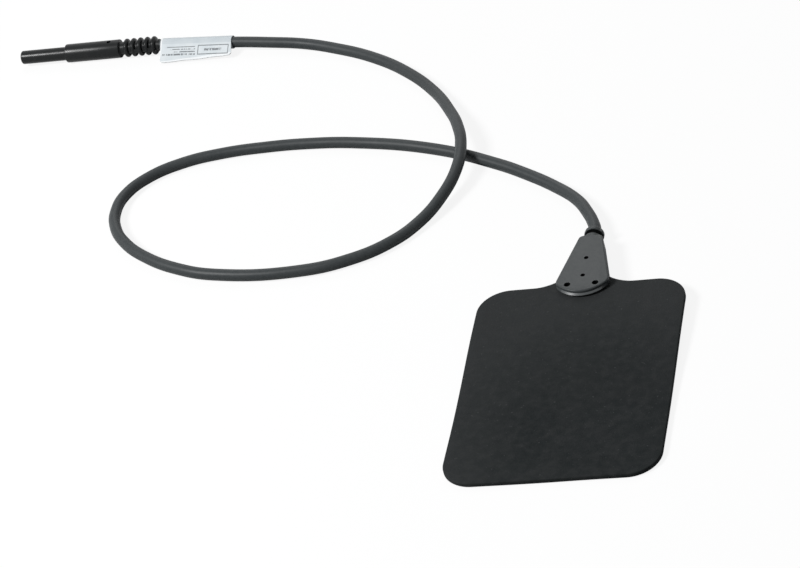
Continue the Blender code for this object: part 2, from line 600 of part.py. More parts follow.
def make_tag(frame, material):
    """Film wrapped round the lead, its two ends pressed together into a flag that lies down.

    The section is drawn with the lead's axis at the origin and the flag on the +X side, which
    is the right-hand side of the tag's heading.
    """
    wrap = LEAD_RADIUS + FIT_GAP + TAG_WRAP_THICKNESS
    tip = Vector((TAG_FLAG_REACH, TAG_FLAG_TIP_HEIGHT - PLUG_AXIS_Z))
    upper_angle = atan2(tip.y, tip.x) + acos(wrap / tip.length)
    normal = Vector((cos(upper_angle), sin(upper_angle)))
    lower_angle = upper_angle - acos(1 - TAG_FLAG_THICKNESS / wrap)
    lower_tip = tip - normal * TAG_FLAG_THICKNESS
    section = arc((0, 0), wrap, upper_angle, lower_angle + 2 * pi, TURNED_SIDES)
    section += [tuple(lower_tip), tuple(tip)]
    shape = prism(section, 0, TAG_LENGTH)

    # The flag's free edge runs at a slant, and its two corners are round
    outward = (tip - normal * wrap).normalized().to_3d()
    corners = []
    for edge in shape.edges:
        flat = [Vector((vert.co.x, vert.co.y)) for vert in edge.verts]
        level = abs(edge.verts[0].co.z - edge.verts[1].co.z) < SAME
        at_tip = min((point - tip).length for point in flat) < SAME
        at_lower_tip = min((point - lower_tip).length for point in flat) < SAME
        if level and at_tip and at_lower_tip:
            corners.append(edge)
    far_verts = [vert for edge in corners for vert in edge.verts if vert.co.z > SAME]
    bmesh.ops.translate(shape, verts=far_verts, vec=-outward * TAG_FLAG_TAPER)
    bmesh.ops.bevel(shape, geom=corners, offset=TAG_CORNER_RADIUS, segments=4, profile=0.5,
                    affect="EDGES", clamp_overlap=True, material=-1)
    along_y = Matrix(((1, 0, 0, 0), (0, 0, 1, TAG_STANDOFF), (0, 1, 0, 0), (0, 0, 0, 1)))
    bmesh.ops.transform(shape, matrix=along_y, verts=shape.verts)
    tag = new_object("tag", shape, material)
    tag.parent = frame
    passage = new_object("lead_passage", rod(LEAD_DIAMETER + 2 * FIT_GAP, -TAG_LENGTH, 2 * TAG_LENGTH))
    passage.parent = frame
    combine(tag, passage, "DIFFERENCE")


def lead_places():
    """Even points along the lead, from the collar's face to the plug's rear face.

    Its first and last step are short and straight, so each end face is parallel to its
    neighbour. Between them it follows the route, and runs straight under the tag.
    """
    start = Vector((0, COLLAR_END_Y + FIT_GAP, CONNECTOR_AXIS_Z))
    end = Vector((PLUG_REAR[0], PLUG_REAR[1], PLUG_AXIS_Z))
    along_tag = Vector((cos(TAG_HEADING), sin(TAG_HEADING), 0))
    along_plug = Vector((cos(PLUG_HEADING), sin(PLUG_HEADING), 0))
    points = [start + Vector((0, LEAD_STUB_LENGTH, 0))]
    points += [Vector(point) for point in LEAD_ROUTE]
    for half in (2, 1, 0):
        points.append(end + along_tag * (TAG_STANDOFF + TAG_LENGTH * half / 2))
    route = smooth_curve(points, LEAD_POINT_SPACING, (0, 1, 0), -along_tag)
    return [start, *route, end - along_plug * FIT_GAP]


def make_lead(material):
    curve = bpy.data.curves.new("lead", "CURVE")
    curve.dimensions = "3D"
    curve.bevel_depth = LEAD_RADIUS
    curve.bevel_resolution = LEAD_BEVEL_RESOLUTION
    curve.use_fill_caps = True
    route = lead_places()
    spline = curve.splines.new("POLY")
    spline.points.add(len(route) - 1)
    for point, place in zip(spline.points, route):
        point.co = (place[0], place[1], max(place[2], LEAD_RADIUS), 1.0)
    curve.materials.append(material)
    lead = bpy.data.objects.new("lead", curve)
    bpy.context.scene.collection.objects.link(lead)


def build_part():
    clear_scene()
    pad_rubber = plain_material("pad_rubber", (0.032, 0.035, 0.037), 0.8)
    soft_plastic = plain_material("soft_plastic", (0.085, 0.092, 0.095), 0.55)
    lead_jacket = plain_material("lead_jacket", (0.062, 0.068, 0.070), 0.55)
    plug_plastic = plain_material("plug_plastic", (0.030, 0.033, 0.035), 0.4)
    bright_metal = plain_material("bright_metal", (0.72, 0.70, 0.66), 0.25, 1.0)
    copper_strand = plain_material("copper_strand", (0.70, 0.42, 0.30), 0.4, 1.0)
    tag_film = plain_material("tag_film", (0.78, 0.82, 0.85), 0.35)

    make_electrode_pad(pad_rubber)
    make_connector(soft_plastic)
    make_contact_plate(bright_metal)
    make_pad_conductor(copper_strand)
    make_lead(lead_jacket)

    plug_axis = axis_frame("plug_axis", PLUG_HEADING)
    make_plug_body(plug_axis, plug_plastic)
    make_nose_sleeve(plug_axis, plug_plastic)
    make_socket_contact(plug_axis, bright_metal)
    make_plug_conductor(plug_axis, copper_strand)
    make_tag(axis_frame("tag_axis", TAG_HEADING), tag_film)


build_part()
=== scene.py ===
# %% [markdown]
# # A rubber electrode pad, dressed for its picture
#
# The solids of this part already stand in the right place: a thin rubber pad, a fan-shaped
# moulding at its rear edge, a lead in one loop, a marking tag and a slim socket plug. This
# script gives them their looks. It loads the solids first, because every piece below is placed
# by their measures, in metres, with the table at z = 0.

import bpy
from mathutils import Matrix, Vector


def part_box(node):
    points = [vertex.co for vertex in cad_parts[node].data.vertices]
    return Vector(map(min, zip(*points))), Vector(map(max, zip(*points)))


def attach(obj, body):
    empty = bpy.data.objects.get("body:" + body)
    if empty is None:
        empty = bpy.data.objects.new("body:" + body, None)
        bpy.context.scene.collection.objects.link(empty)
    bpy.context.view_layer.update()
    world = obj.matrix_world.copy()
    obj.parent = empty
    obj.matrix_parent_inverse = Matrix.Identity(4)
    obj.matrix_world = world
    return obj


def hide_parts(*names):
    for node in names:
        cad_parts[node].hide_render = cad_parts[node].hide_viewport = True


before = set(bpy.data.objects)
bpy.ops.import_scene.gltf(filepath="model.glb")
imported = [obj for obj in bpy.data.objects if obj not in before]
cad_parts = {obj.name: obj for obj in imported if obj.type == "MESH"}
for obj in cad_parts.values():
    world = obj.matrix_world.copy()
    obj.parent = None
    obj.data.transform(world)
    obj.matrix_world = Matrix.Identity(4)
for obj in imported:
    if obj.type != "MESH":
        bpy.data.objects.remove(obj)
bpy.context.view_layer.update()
print("nodes:", sorted(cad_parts))

# %% [markdown]
# ## Tools
#
# Everything that follows is mesh code. `MM` lets a size be written as it is read from a ruler,
# and `SAME` is the distance under which two points count as one.

# %% Imports and units
from math import acos, asin, atan2, cos, hypot, pi, radians, sin, sqrt, tan

import bmesh
import bpy
from mathutils import Matrix, Quaternion, Vector

MM = 0.001
SAME = 1e-7
scene = bpy.context.scene
print("blender", bpy.app.version_string)

# %% [markdown]
# ## Camera
#
# The picture was taken from the front right, about 35 degrees above the table, from nearly a
# metre away with a long lens, and the camera was tilted about its own axis. So the script aims
# the camera at a point of the table first, and then rolls it. Lens and sensor are in millimetres.

# %% Camera
CAMERA_PLACE = Vector((0.19884, -0.67075, 0.53924))
CAMERA_AIM = Vector((-0.05693, 0.03952, 0.0))
CAMERA_ROLL = radians(-16.543)
SENSOR_WIDTH = 36
FOCAL_LENGTH = 144

camera_data = bpy.data.cameras.new("camera")
camera_data.sensor_width = SENSOR_WIDTH
camera_data.lens = FOCAL_LENGTH
camera = bpy.data.objects.new("camera", camera_data)
camera.location = CAMERA_PLACE
camera.rotation_mode = "QUATERNION"
straight_look = (CAMERA_AIM - CAMERA_PLACE).to_track_quat("-Z", "Y")
camera.rotation_quaternion = straight_look @ Quaternion((0, 0, 1), CAMERA_ROLL)
scene.collection.objects.link(camera)
scene.camera = camera
print("camera looks at", tuple(round(value, 3) for value in CAMERA_AIM))

# %% [markdown]
# ## Finishes
#
# A finish is a Principled shader whose colour, roughness and bump come from noise. All noise
# reads Object coordinates, which are metres here, so a scale of 200 makes blotches of about
# five millimetres and a scale of 3000 makes grain of a third of a millimetre. One helper makes
# the shader, and small ones add noise, a ramp, a layer of colour and bumps. That keeps each
# finish down to the numbers that matter.

# %% Helpers for finishes
def new_finish(name, metallic=0.0, specular=0.5):
    """A material with its Principled shader and a coordinate node."""
    finish = bpy.data.materials.new(name)
    finish.use_nodes = True
    nodes = finish.node_tree.nodes
    shader = nodes["Principled BSDF"]
    shader.inputs["Metallic"].default_value = metallic
    shader.inputs["Specular IOR Level"].default_value = specular
    nodes.new("ShaderNodeTexCoord").name = "place"
    return finish, nodes, finish.node_tree.links, shader


def add_noise(nodes, links, scale, detail=3.0, stretch=(1, 1, 1)):
    """Noise over the piece's own coordinates, drawn out along an axis where wanted."""
    mapping = nodes.new("ShaderNodeMapping")
    mapping.inputs["Scale"].default_value = stretch
    noise = nodes.new("ShaderNodeTexNoise")
    noise.inputs["Scale"].default_value = scale
    noise.inputs["Detail"].default_value = detail
    links.new(nodes["place"].outputs["Object"], mapping.inputs["Vector"])
    links.new(mapping.outputs["Vector"], noise.inputs["Vector"])
    return noise.outputs["Fac"]


def add_ramp(nodes, links, source, stops):
    """Turn a grey value into a colour or another grey, by stops of (place, colour)."""
    ramp = nodes.new("ShaderNodeValToRGB")
    elements = ramp.color_ramp.elements
    while len(elements) < len(stops):
        elements.new(0.5)
    for element, (place, colour) in zip(elements, stops):
        element.position = place
        element.color = (*colour, 1.0) if hasattr(colour, "__len__") else (colour,) * 3 + (1.0,)
    links.new(source, ramp.inputs["Fac"])
    return ramp.outputs["Color"]


def add_layer(nodes, links, under, colour, share):
    """Lay one colour over another by a share from 0 to 1, a socket."""
    blend = nodes.new("ShaderNodeMix")
    blend.data_type = "RGBA"
    links.new(share, blend.inputs["Factor"])
    links.new(under, blend.inputs["A"])
    blend.inputs["B"].default_value = (*colour, 1.0)
    return blend.outputs["Result"]


def add_bump(nodes, links, shader, heights):
    """Stack bumps of (source, distance in metres) and lead them to the shader."""
    last = None
    for source, distance in heights:
        bump = nodes.new("ShaderNodeBump")
        bump.inputs["Strength"].default_value = 1.0
        bump.inputs["Distance"].default_value = distance
        links.new(source, bump.inputs["Height"])
        if last:
            links.new(last, bump.inputs["Normal"])
        last = bump.outputs["Normal"]
    links.new(last, shader.inputs["Normal"])


print("finish helpers ready")

# %% [markdown]
# ### Conductive rubber
#
# The pad is silicone filled with carbon: nearly black, dull, and never quite even. Faint cool
# clouds a few millimetres wide lie over a broader drift of tone, and here and there sits a
# speck of dust. Towards its left and rear edges the rubber is painted paler, as painted light,
# so one layer grows with the distance from a point near its lower right. The same fine grain
# drives roughness and bump, and a slow swell keeps the broad face from looking like a sheet
# of glass.

# %% Rubber finish
LOWER_RIGHT = (0.010, -0.030, 0.0)

rubber_finish, nodes, links, shader = new_finish("conductive_rubber", specular=0.06)
clouds = add_noise(nodes, links, 420, 5.0)
tone = add_ramp(nodes, links, clouds, [
    (0.30, (0.0105, 0.0130, 0.0135)), (0.50, (0.0150, 0.0174, 0.0179)),
    (0.68, (0.0215, 0.0235, 0.0240))])
# painted light: the rubber is drawn paler towards its left and rear edges, by the distance from a
# point near its lower right
painted_light_distance = nodes.new("ShaderNodeVectorMath")
painted_light_distance.operation = "DISTANCE"
links.new(nodes["place"].outputs["Object"], painted_light_distance.inputs[0])
painted_light_distance.inputs[1].default_value = LOWER_RIGHT
painted_light_share = add_ramp(nodes, links, painted_light_distance.outputs["Value"], [(0.020, 0.0), (0.050, 0.62)])
tone = add_layer(nodes, links, tone, (0.0360, 0.0380, 0.0388), painted_light_share)
drift = add_ramp(nodes, links, add_noise(nodes, links, 34, 2.0), [(0.35, 0.0), (0.70, 0.35)])
tone = add_layer(nodes, links, tone, (0.0225, 0.0240, 0.0245), drift)
dust = add_ramp(nodes, links, add_noise(nodes, links, 1500, 1.0), [(0.71, 0.0), (0.80, 0.5)])
links.new(add_layer(nodes, links, tone, (0.075, 0.078, 0.080), dust), shader.inputs["Base Color"])
grain = add_noise(nodes, links, 2600, 2.0)
links.new(add_ramp(nodes, links, grain, [(0.3, 0.66), (0.7, 0.80)]), shader.inputs["Roughness"])
swell = add_noise(nodes, links, 45, 2.0)
add_bump(nodes, links, shader, [(swell, 0.30 * MM), (grain, 0.05 * MM)])
print("made", rubber_finish.name)

# %% [markdown]
# ### Moulded grey plastic
#
# The moulding over the pad's tongue is a soft grey plastic from a finely blasted tool. Its face
# is satin and its edges catch the light, so the roughness is middling and the bump is small.

# %% Moulding finish
moulding_finish, nodes, links, shader = new_finish("moulded_grey", specular=0.18)
clouds = add_noise(nodes, links, 520, 4.0)
links.new(add_ramp(nodes, links, clouds, [
    (0.3, (0.038, 0.043, 0.045)), (0.7, (0.048, 0.053, 0.054))]), shader.inputs["Base Color"])
grain = add_noise(nodes, links, 3800, 2.0)
links.new(add_ramp(nodes, links, grain, [(0.3, 0.32), (0.7, 0.42)]), shader.inputs["Roughness"])
add_bump(nodes, links, shader, [(grain, 0.016 * MM)])
print("made", moulding_finish.name)

# %% [markdown]
# In the groove between the neck and the collar, and down the walls of the holes, the shade of
# these recesses is painted: their faces get a finish of their own, dull and nearly black. The lip
# at the nose is the same grey plastic, smoother and glossier, and painted a little lighter as a
# painted highlight.

# %% Painted shade and lip finishes
# painted shade: a dull, nearly black finish for the groove and the walls of the holes
painted_shade_finish, nodes, links, shader = new_finish("painted_shade", specular=0.05)
grain = add_noise(nodes, links, 3000, 2.0)
links.new(add_ramp(nodes, links, grain, [
    (0.3, (0.0035, 0.0038, 0.0040)), (0.7, (0.0060, 0.0064, 0.0066))]), shader.inputs["Base Color"])
links.new(add_ramp(nodes, links, grain, [(0.3, 0.55), (0.7, 0.70)]), shader.inputs["Roughness"])
add_bump(nodes, links, shader, [(grain, 0.02 * MM)])

# painted highlight: the lip is a little lighter than the grey plastic; its higher gloss and lower
# roughness are real
lip_highlight_finish, nodes, links, shader = new_finish("painted_highlight_lip", specular=0.5)
clouds = add_noise(nodes, links, 520, 4.0)
links.new(add_ramp(nodes, links, clouds, [
    (0.3, (0.050, 0.056, 0.058)), (0.7, (0.062, 0.068, 0.070))]), shader.inputs["Base Color"])
links.new(add_ramp(nodes, links, clouds, [(0.3, 0.26), (0.7, 0.36)]), shader.inputs["Roughness"])
print("made", painted_shade_finish.name, "and", lip_highlight_finish.name)

# %% [markdown]
# ### Lead jacket
#
# The jacket is a little darker and duller than the moulding. Clouds of a millimetre mottle it,
# and over a centimetre or two wear makes it paler and the rub of a hand makes its gloss uneven.

# %% Jacket finish
jacket_finish, nodes, links, shader = new_finish("lead_jacket", specular=0.22)
clouds = add_noise(nodes, links, 900, 4.0)
tone = add_ramp(nodes, links, clouds, [
    (0.32, (0.026, 0.031, 0.033)), (0.68, (0.037, 0.042, 0.044))])
wear = add_ramp(nodes, links, add_noise(nodes, links, 48, 3.0), [(0.35, 0.0), (0.65, 0.45)])
links.new(add_layer(nodes, links, tone, (0.045, 0.050, 0.051), wear), shader.inputs["Base Color"])
rub = add_noise(nodes, links, 60, 5.0)
links.new(add_ramp(nodes, links, rub, [(0.35, 0.42), (0.65, 0.52)]), shader.inputs["Roughness"])
grain = add_noise(nodes, links, 3000, 2.0)
add_bump(nodes, links, shader, [(grain, 0.012 * MM)])
print("made", jacket_finish.name)

# %% [markdown]
# ### Black plug plastic
#
# Grip and nose are a harder black plastic. They are glossier than the rest, with one long
# highlight, and handling has left faint scuffs along their length.

# %% Plug finish
plug_finish, nodes, links, shader = new_finish("plug_black", specular=0.2)
clouds = add_noise(nodes, links, 300, 3.0)
links.new(add_ramp(nodes, links, clouds, [
    (0.3, (0.006, 0.0072, 0.0076)), (0.7, (0.010, 0.0112, 0.0116))]), shader.inputs["Base Color"])
scuffs = add_noise(nodes, links, 900, 4.0, stretch=(0.25, 1, 1))
links.new(add_ramp(nodes, links, scuffs, [(0.35, 0.25), (0.7, 0.34)]), shader.inputs["Roughness"])
add_bump(nodes, links, shader, [(scuffs, 0.012 * MM)])
print("made", plug_finish.name)

# %% [markdown]
# ### Metals
#
# The socket, the contact plate and the conductor's ends hide inside the plastic, and only the
# mouth of the socket shows. They are still finished: nickel with fine turning marks, and
# copper with the slant of its twisted strands. The contact plate lies in carbon paste, which
# makes its bond to the rubber, so most of its nickel is smeared black.

# %% Metal finishes
SMEAR_EDGE = 0.02


def new_nickel(name, paste):
    """Nickel with turning marks, and with a share of its face under black paste."""
    finish, nodes, links, shader = new_finish(name)
    marks = add_noise(nodes, links, 4000, 2.0, stretch=(1, 0.1, 0.1))
    metal = add_ramp(nodes, links, marks, [(0.3, (0.60, 0.57, 0.52)), (0.7, (0.74, 0.71, 0.66))])
    smear = add_noise(nodes, links, 500, 3.0)
    smear = add_ramp(nodes, links, smear, [(paste - SMEAR_EDGE, 1.0), (paste + SMEAR_EDGE, 0.0)])
    bare = add_ramp(nodes, links, smear, [(0.0, 1.0), (1.0, 0.0)])
    dark = add_layer(nodes, links, metal, (0.012, 0.012, 0.013), smear)
    links.new(dark, shader.inputs["Base Color"])
    links.new(bare, shader.inputs["Metallic"])
    links.new(add_ramp(nodes, links, marks, [(0.3, 0.18), (0.7, 0.34)]), shader.inputs["Roughness"])
    add_bump(nodes, links, shader, [(marks, 0.01 * MM)])
    return finish


nickel_finish = new_nickel("nickel", 0.03)
pasted_finish = new_nickel("pasted_nickel", 0.62)

copper_finish, nodes, links, shader = new_finish("copper_strands", metallic=1.0)
strands = nodes.new("ShaderNodeTexWave")
strands.bands_direction = "DIAGONAL"
strands.inputs["Scale"].default_value = 900
strands.inputs["Distortion"].default_value = 0.6
links.new(nodes["place"].outputs["Object"], strands.inputs["Vector"])
twist = strands.outputs["Fac"]
links.new(add_ramp(nodes, links, twist, [
    (0.2, (0.42, 0.20, 0.12)), (0.8, (0.74, 0.42, 0.29))]), shader.inputs["Base Color"])
links.new(add_ramp(nodes, links, twist, [(0.2, 0.45), (0.8, 0.30)]), shader.inputs["Roughness"])
add_bump(nodes, links, shader, [(twist, 0.04 * MM)])

for name, finish in (("contact_plate", pasted_finish), ("socket_contact", nickel_finish),
                     ("pad_conductor", copper_finish), ("plug_conductor", copper_finish)):
    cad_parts[name].data.materials.clear()
    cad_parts[name].data.materials.append(finish)
print("dressed the metal pieces")

# %% [markdown]
# ## Mesh helpers
#
# Most pieces begin as a flat outline with few points or as a profile that is turned round an
# axis. An outline's corners are rounded afterwards with a bevel, as one would do by hand. The
# bevel wants the distance from the old corner to the start of the curve, which for a radius r
# and a turn of the outline by an angle a is r * tan(a / 2).

# %% Flat shapes
def plate(outline, low, high):
    """A flat slab with the given outline between two heights."""
    shape = bmesh.new()
    bottom = shape.faces.new([shape.verts.new((x, y, low)) for x, y in outline])
    lifted = bmesh.ops.extrude_face_region(shape, geom=[bottom])["geom"]
    upper = [item for item in lifted if isinstance(item, bmesh.types.BMVert)]
    bmesh.ops.translate(shape, verts=upper, vec=(0, 0, high - low))
    bmesh.ops.recalc_face_normals(shape, faces=shape.faces)
    return shape


def mirrored(half):
    """Close a right-hand half outline, listed front to rear, with its mirror image."""
    return half + [(-x, y) for x, y in reversed(half) if abs(x) > SAME]


def block(low, high):
    """A box between two corners."""
    corners = [(low[0], low[1]), (high[0], low[1]), (high[0], high[1]), (low[0], high[1])]
    return plate(corners, low[2], high[2])


def bevel(shape, edges, offset, segments):
    """Round the given edges."""
    bmesh.ops.bevel(shape, geom=edges, offset=offset, segments=segments, profile=0.5,
                    affect="EDGES", clamp_overlap=False, material=-1)


def round_corner(shape, place, radius, segments):
    """Round the upright edge over a point of the outline."""
    for edge in list(shape.edges):
        if all((vert.co.xy - Vector(place)).length < SAME for vert in edge.verts):
            turn = edge.link_faces[0].normal.angle(edge.link_faces[1].normal)
            bevel(shape, [edge], radius * tan(turn / 2), segments)
            return


def level_edges(shape, height):
    """The edges that lie at one height."""
    return [edge for edge in shape.edges
            if all(abs(vert.co.z - height) < SAME for vert in edge.verts)]


print("helpers for flat shapes ready")

# %% [markdown]
# A turned piece needs its profile only: places along the axis with their radius. Where the
# profile starts and ends on the axis it makes a solid, and otherwise a ring.

# %% Turned shapes
BORE_SIDES = 48
PLUG_SIDES = 64
PIN_SIDES = 32


def turned(profile, sides):
    """Turn a profile of (place along Y, radius) round the Y axis."""
    shape = bmesh.new()
    verts = [shape.verts.new((radius, along, 0)) for along, radius in profile]
    edges = [shape.edges.new(pair) for pair in zip(verts, verts[1:])]
    if profile[0][1] > 0 or profile[-1][1] > 0:
        edges.append(shape.edges.new((verts[-1], verts[0])))
    bmesh.ops.spin(shape, geom=verts + edges, cent=(0, 0, 0), axis=(0, 1, 0), angle=2 * pi,
                   steps=sides, use_merge=True)
    bmesh.ops.remove_doubles(shape, verts=shape.verts, dist=SAME)
    bmesh.ops.recalc_face_normals(shape, faces=shape.faces)
    return shape


def arc(centre, radius, start, end, steps=6):
    """Points of an arc in a profile, angles in degrees from the direction of the axis."""
    points = []
    for step in range(steps + 1):
        angle = radians(start + (end - start) * step / steps)
        points.append((centre[0] + radius * cos(angle), centre[1] + radius * sin(angle)))
    return points


def bar_along(diameter, low, high):
    """A round bar along Y, for cutting bores."""
    return turned([(low, 0), (low, diameter / 2), (high, diameter / 2), (high, 0)], BORE_SIDES)


def upright_pin(shape, diameter, x, y, low, high):
    """Add an upright round pin to a shape, for cutting holes."""
    bmesh.ops.create_cone(shape, cap_ends=True, segments=PIN_SIDES, radius1=diameter / 2,
                          radius2=diameter / 2, depth=high - low,
                          matrix=Matrix.Translation((x, y, (low + high) / 2)))


print("helpers for turned shapes ready")

# %% [markdown]
# Boolean cuts are made at once and the cutter is thrown away. After each cut the edges that are
# really sharp are marked again, so that flat faces stay flat where a hole opens in them. When a
# piece has all its cuts, points that lie within two thousandths of a millimetre are merged, so
# that the mesh is closed.

# %% Helpers for pieces
SLIVER = 0.002 * MM
SHARP_ANGLE = radians(35)


def smooth_faces(mesh):
    mesh.shade_smooth()
    mesh.set_sharp_from_angle(angle=SHARP_ANGLE)


def new_piece(name, shape, finish=None):
    """Turn a bmesh into an object at the origin, smooth except at its sharp edges."""
    mesh = bpy.data.meshes.new(name)
    shape.to_mesh(mesh)
    shape.free()
    piece = bpy.data.objects.new(name, mesh)
    scene.collection.objects.link(piece)
    smooth_faces(mesh)
    if finish:
        mesh.materials.append(finish)
    return piece


def combine(piece, helper_shape, operation):
    """Join a helper shape to a piece or cut it out, and apply that."""
    helper = new_piece("helper", helper_shape)
    step = piece.modifiers.new("step", "BOOLEAN")
    step.operation = operation
    step.solver = "EXACT"
    step.object = helper
    bpy.context.view_layer.update()
    evaluated = piece.evaluated_get(bpy.context.evaluated_depsgraph_get())
    mesh = bpy.data.meshes.new_from_object(evaluated)
    piece.modifiers.remove(step)
    piece.data = mesh
    smooth_faces(mesh)
    bpy.data.objects.remove(helper, do_unlink=True)


def heal(piece):
    """Merge the slivers that cuts leave where two edges nearly meet."""
    shape = bmesh.new()
    shape.from_mesh(piece.data)
    bmesh.ops.remove_doubles(shape, verts=shape.verts, dist=SLIVER)
    bmesh.ops.dissolve_degenerate(shape, dist=SLIVER, edges=shape.edges)
    shape.to_mesh(piece.data)
    shape.free()
    smooth_faces(piece.data)


def settle(piece, slot, *nodes_replaced):
    """The piece rides with the part and stands for its nodes; slot is not used."""
    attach(piece, "root")
    if nodes_replaced:
        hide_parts(*nodes_replaced)
    print(piece.name, "faces:", len(piece.data.polygons) if piece.type == "MESH" else "curve")


print("helpers for pieces ready")

# %% [markdown]
# ## The fan's outline
#
# Pad and moulding share an edge: the pad's tongue runs up between the moulding's side walls. So
# the moulding's outline is worked out first. Seen from above it is a fan: a round nose, two
# round corners and two straight sides that lean in to the neck. Nose and corners are arcs that
# run into each other without a flat between them, and that settles the nose's radius and how
# far each arc turns. The side is a tangent to its corner that ends at the neck.

# %% Fan measures
moulding_low, moulding_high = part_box("connector_moulding")
FAN_LENGTH = 26 * MM
FAN_FRONT = moulding_low.y
FAN_REAR = FAN_FRONT + FAN_LENGTH
FAN_CORNER_RADIUS = 3 * MM
FAN_CORNER_SETBACK = 5.2 * MM
NECK_HALF = 3.3 * MM

centre_x = moulding_high.x - FAN_CORNER_RADIUS
centre_y = FAN_FRONT + FAN_CORNER_SETBACK
nose_radius = (centre_x ** 2 + FAN_CORNER_SETBACK ** 2 - FAN_CORNER_RADIUS ** 2) \
    / (2 * (FAN_CORNER_SETBACK - FAN_CORNER_RADIUS))
nose_turn = asin(centre_x / (nose_radius - FAN_CORNER_RADIUS))
inward, forward = centre_x - NECK_HALF, FAN_REAR - centre_y
side_lean = asin(FAN_CORNER_RADIUS / hypot(inward, forward)) + atan2(inward, forward)


def fan_half(y):
    """Half the fan's width at a place along its straight sides."""
    return NECK_HALF + (FAN_REAR - y) * tan(side_lean)


print("nose radius", round(nose_radius / MM, 2), "mm, side leans", round(side_lean, 3), "rad")

# %% [markdown]
# ## The rubber pad
#
# The pad is cut from a sheet 1.4 mm thick: 60 by 80 mm, with corners of 9 mm. At its rear edge
# two hollow flares rise to a tongue that runs on into the moulding. The outline needs only
# twelve points. The corners and the flares are bevels of different radius. A flare gets a little
# less than its full radius, so that its two ends don't run into the neighbouring points. Then
# the upper and lower rims are softened, which gives the thin light line of a moulded edge.

# %% Pad outline
pad_low, pad_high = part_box("electrode_pad")
PAD_THICK = 1.4 * MM
PAD_LENGTH = 80 * MM
PAD_CORNER_RADIUS = 9 * MM
PAD_RIM = 0.35 * MM
PAD_REAR = pad_low.y + PAD_LENGTH
FLARE_RISE = 3 * MM
FLARE_REACH = 7.4 * MM
FLARE_SHARE = 0.98
TONGUE_CORNER_RADIUS = 1 * MM
SIDE_WALL = 1.5 * MM

shoulder = PAD_REAR + FLARE_RISE
shoulder_half = fan_half(shoulder)
flare_radius = (FLARE_REACH ** 2 + FLARE_RISE ** 2) / (2 * FLARE_RISE)
flare_turn = asin(FLARE_REACH / flare_radius)
flare_start = shoulder_half + FLARE_REACH - flare_radius * tan(flare_turn / 2)
tongue_tip = pad_high.y
root_half = shoulder_half - SIDE_WALL
tip_half = fan_half(tongue_tip) - SIDE_WALL

right_half = [(pad_high.x, pad_low.y), (pad_high.x, PAD_REAR), (flare_start, PAD_REAR),
              (shoulder_half, shoulder), (root_half, shoulder), (tip_half, tongue_tip)]
sheet = plate(mirrored(right_half), 0, PAD_THICK)
for side in (-1, 1):
    round_corner(sheet, (side * pad_high.x, pad_low.y), PAD_CORNER_RADIUS, 16)
    round_corner(sheet, (side * pad_high.x, PAD_REAR), PAD_CORNER_RADIUS, 16)
    round_corner(sheet, (side * flare_start, PAD_REAR), FLARE_SHARE * flare_radius, 10)
    round_corner(sheet, (side * tip_half, tongue_tip), TONGUE_CORNER_RADIUS, 4)
bevel(sheet, level_edges(sheet, 0) + level_edges(sheet, PAD_THICK), PAD_RIM, 4)
print("pad faces before it is bent:", len(sheet.faces))

# %% [markdown]
# The moulding is thicker than the pad and holds it half way up, so the rubber climbs 2.2 mm
# from the table in a long soft step before it enters. The sheet is cut across into narrow bands
# so that it can bend, and lengthwise too, because real rubber is never dead flat: its face
# swells by a tenth of a millimetre or two, more towards the free corners. The swell only lifts,
# so the underside keeps above the table.

# %% Pad bend
PAD_RISE = 2.2 * MM
BEND_END = FAN_FRONT - 0.6 * MM
BEND_LENGTH = 54 * MM
BAND_LONG = 2 * MM
BAND_WIDE = 3 * MM


def cut_across(shape, normal, first, last, pitch):
    """Cut a shape into bands along one axis."""
    place = first
    while place < last:
        bmesh.ops.bisect_plane(shape, geom=shape.verts[:] + shape.edges[:] + shape.faces[:],
                               plane_co=Vector(normal) * place, plane_no=normal, dist=SAME)
        place += pitch


def soft_step(share):
    """0 below 0, 1 above 1, and a smooth rise between."""
    share = min(max(share, 0), 1)
    return share * share * (3 - 2 * share)


def face_swell(x, y):
    """How far the rubber lifts, all in millimetres: not at all in its middle and its bend."""
    free = soft_step((18 - y) / 20) * soft_step((abs(x) + abs(y + 12) - 18) / 40)
    swell = 0.17 + 0.10 * sin(x / 9 + 0.6) * cos(y / 13) + 0.07 * cos(x / 6 - y / 11)
    return swell * free


cut_across(sheet, (0, 1, 0), pad_low.y + BAND_LONG, PAD_REAR, BAND_LONG)
cut_across(sheet, (1, 0, 0), pad_low.x + BAND_WIDE, pad_high.x, BAND_WIDE)
for vert in sheet.verts:
    swell = face_swell(*(vert.co.xy / MM))
    vert.co.z += PAD_RISE * soft_step(1 - (BEND_END - vert.co.y) / BEND_LENGTH)
    vert.co.z += swell * MM
pad = new_piece("rubber_sheet", sheet, rubber_finish)
settle(pad, "pad_rubber", "electrode_pad")

# %% [markdown]
# ## The moulding
#
# Five points draw the fan: the nose, two wide corners and the two ends of the neck. Each is the
# place where two tangents of the wanted arcs meet, so that the bevels land on those arcs. The
# lower rim then gets a radius of 0.9 mm and the rim of the face one of 0.4 mm.
#
# Round the nose the upper half ends in a small skirt, which catches the light as one bright line
# over the dark gap where the rubber goes in. For that the wall is cut across at two heights, and
# all that lies above is drawn in along the wall's normals, less and less towards the neck.

# %% Fan
FAN_RIM = 0.9 * MM
FACE_RIM = 0.4 * MM
SKIRT_FOOT = 4.4 * MM
SKIRT_HEIGHT = 0.5 * MM
SKIRT_DEPTH = 0.45 * MM
SKIRT_FADE = 6 * MM
SKIRT_END = FAN_FRONT + 6.5 * MM
NECK_CORNER_RADIUS = 1.5 * MM
FAN_HEIGHT = 5.8 * MM
lead_height = FAN_HEIGHT / 2

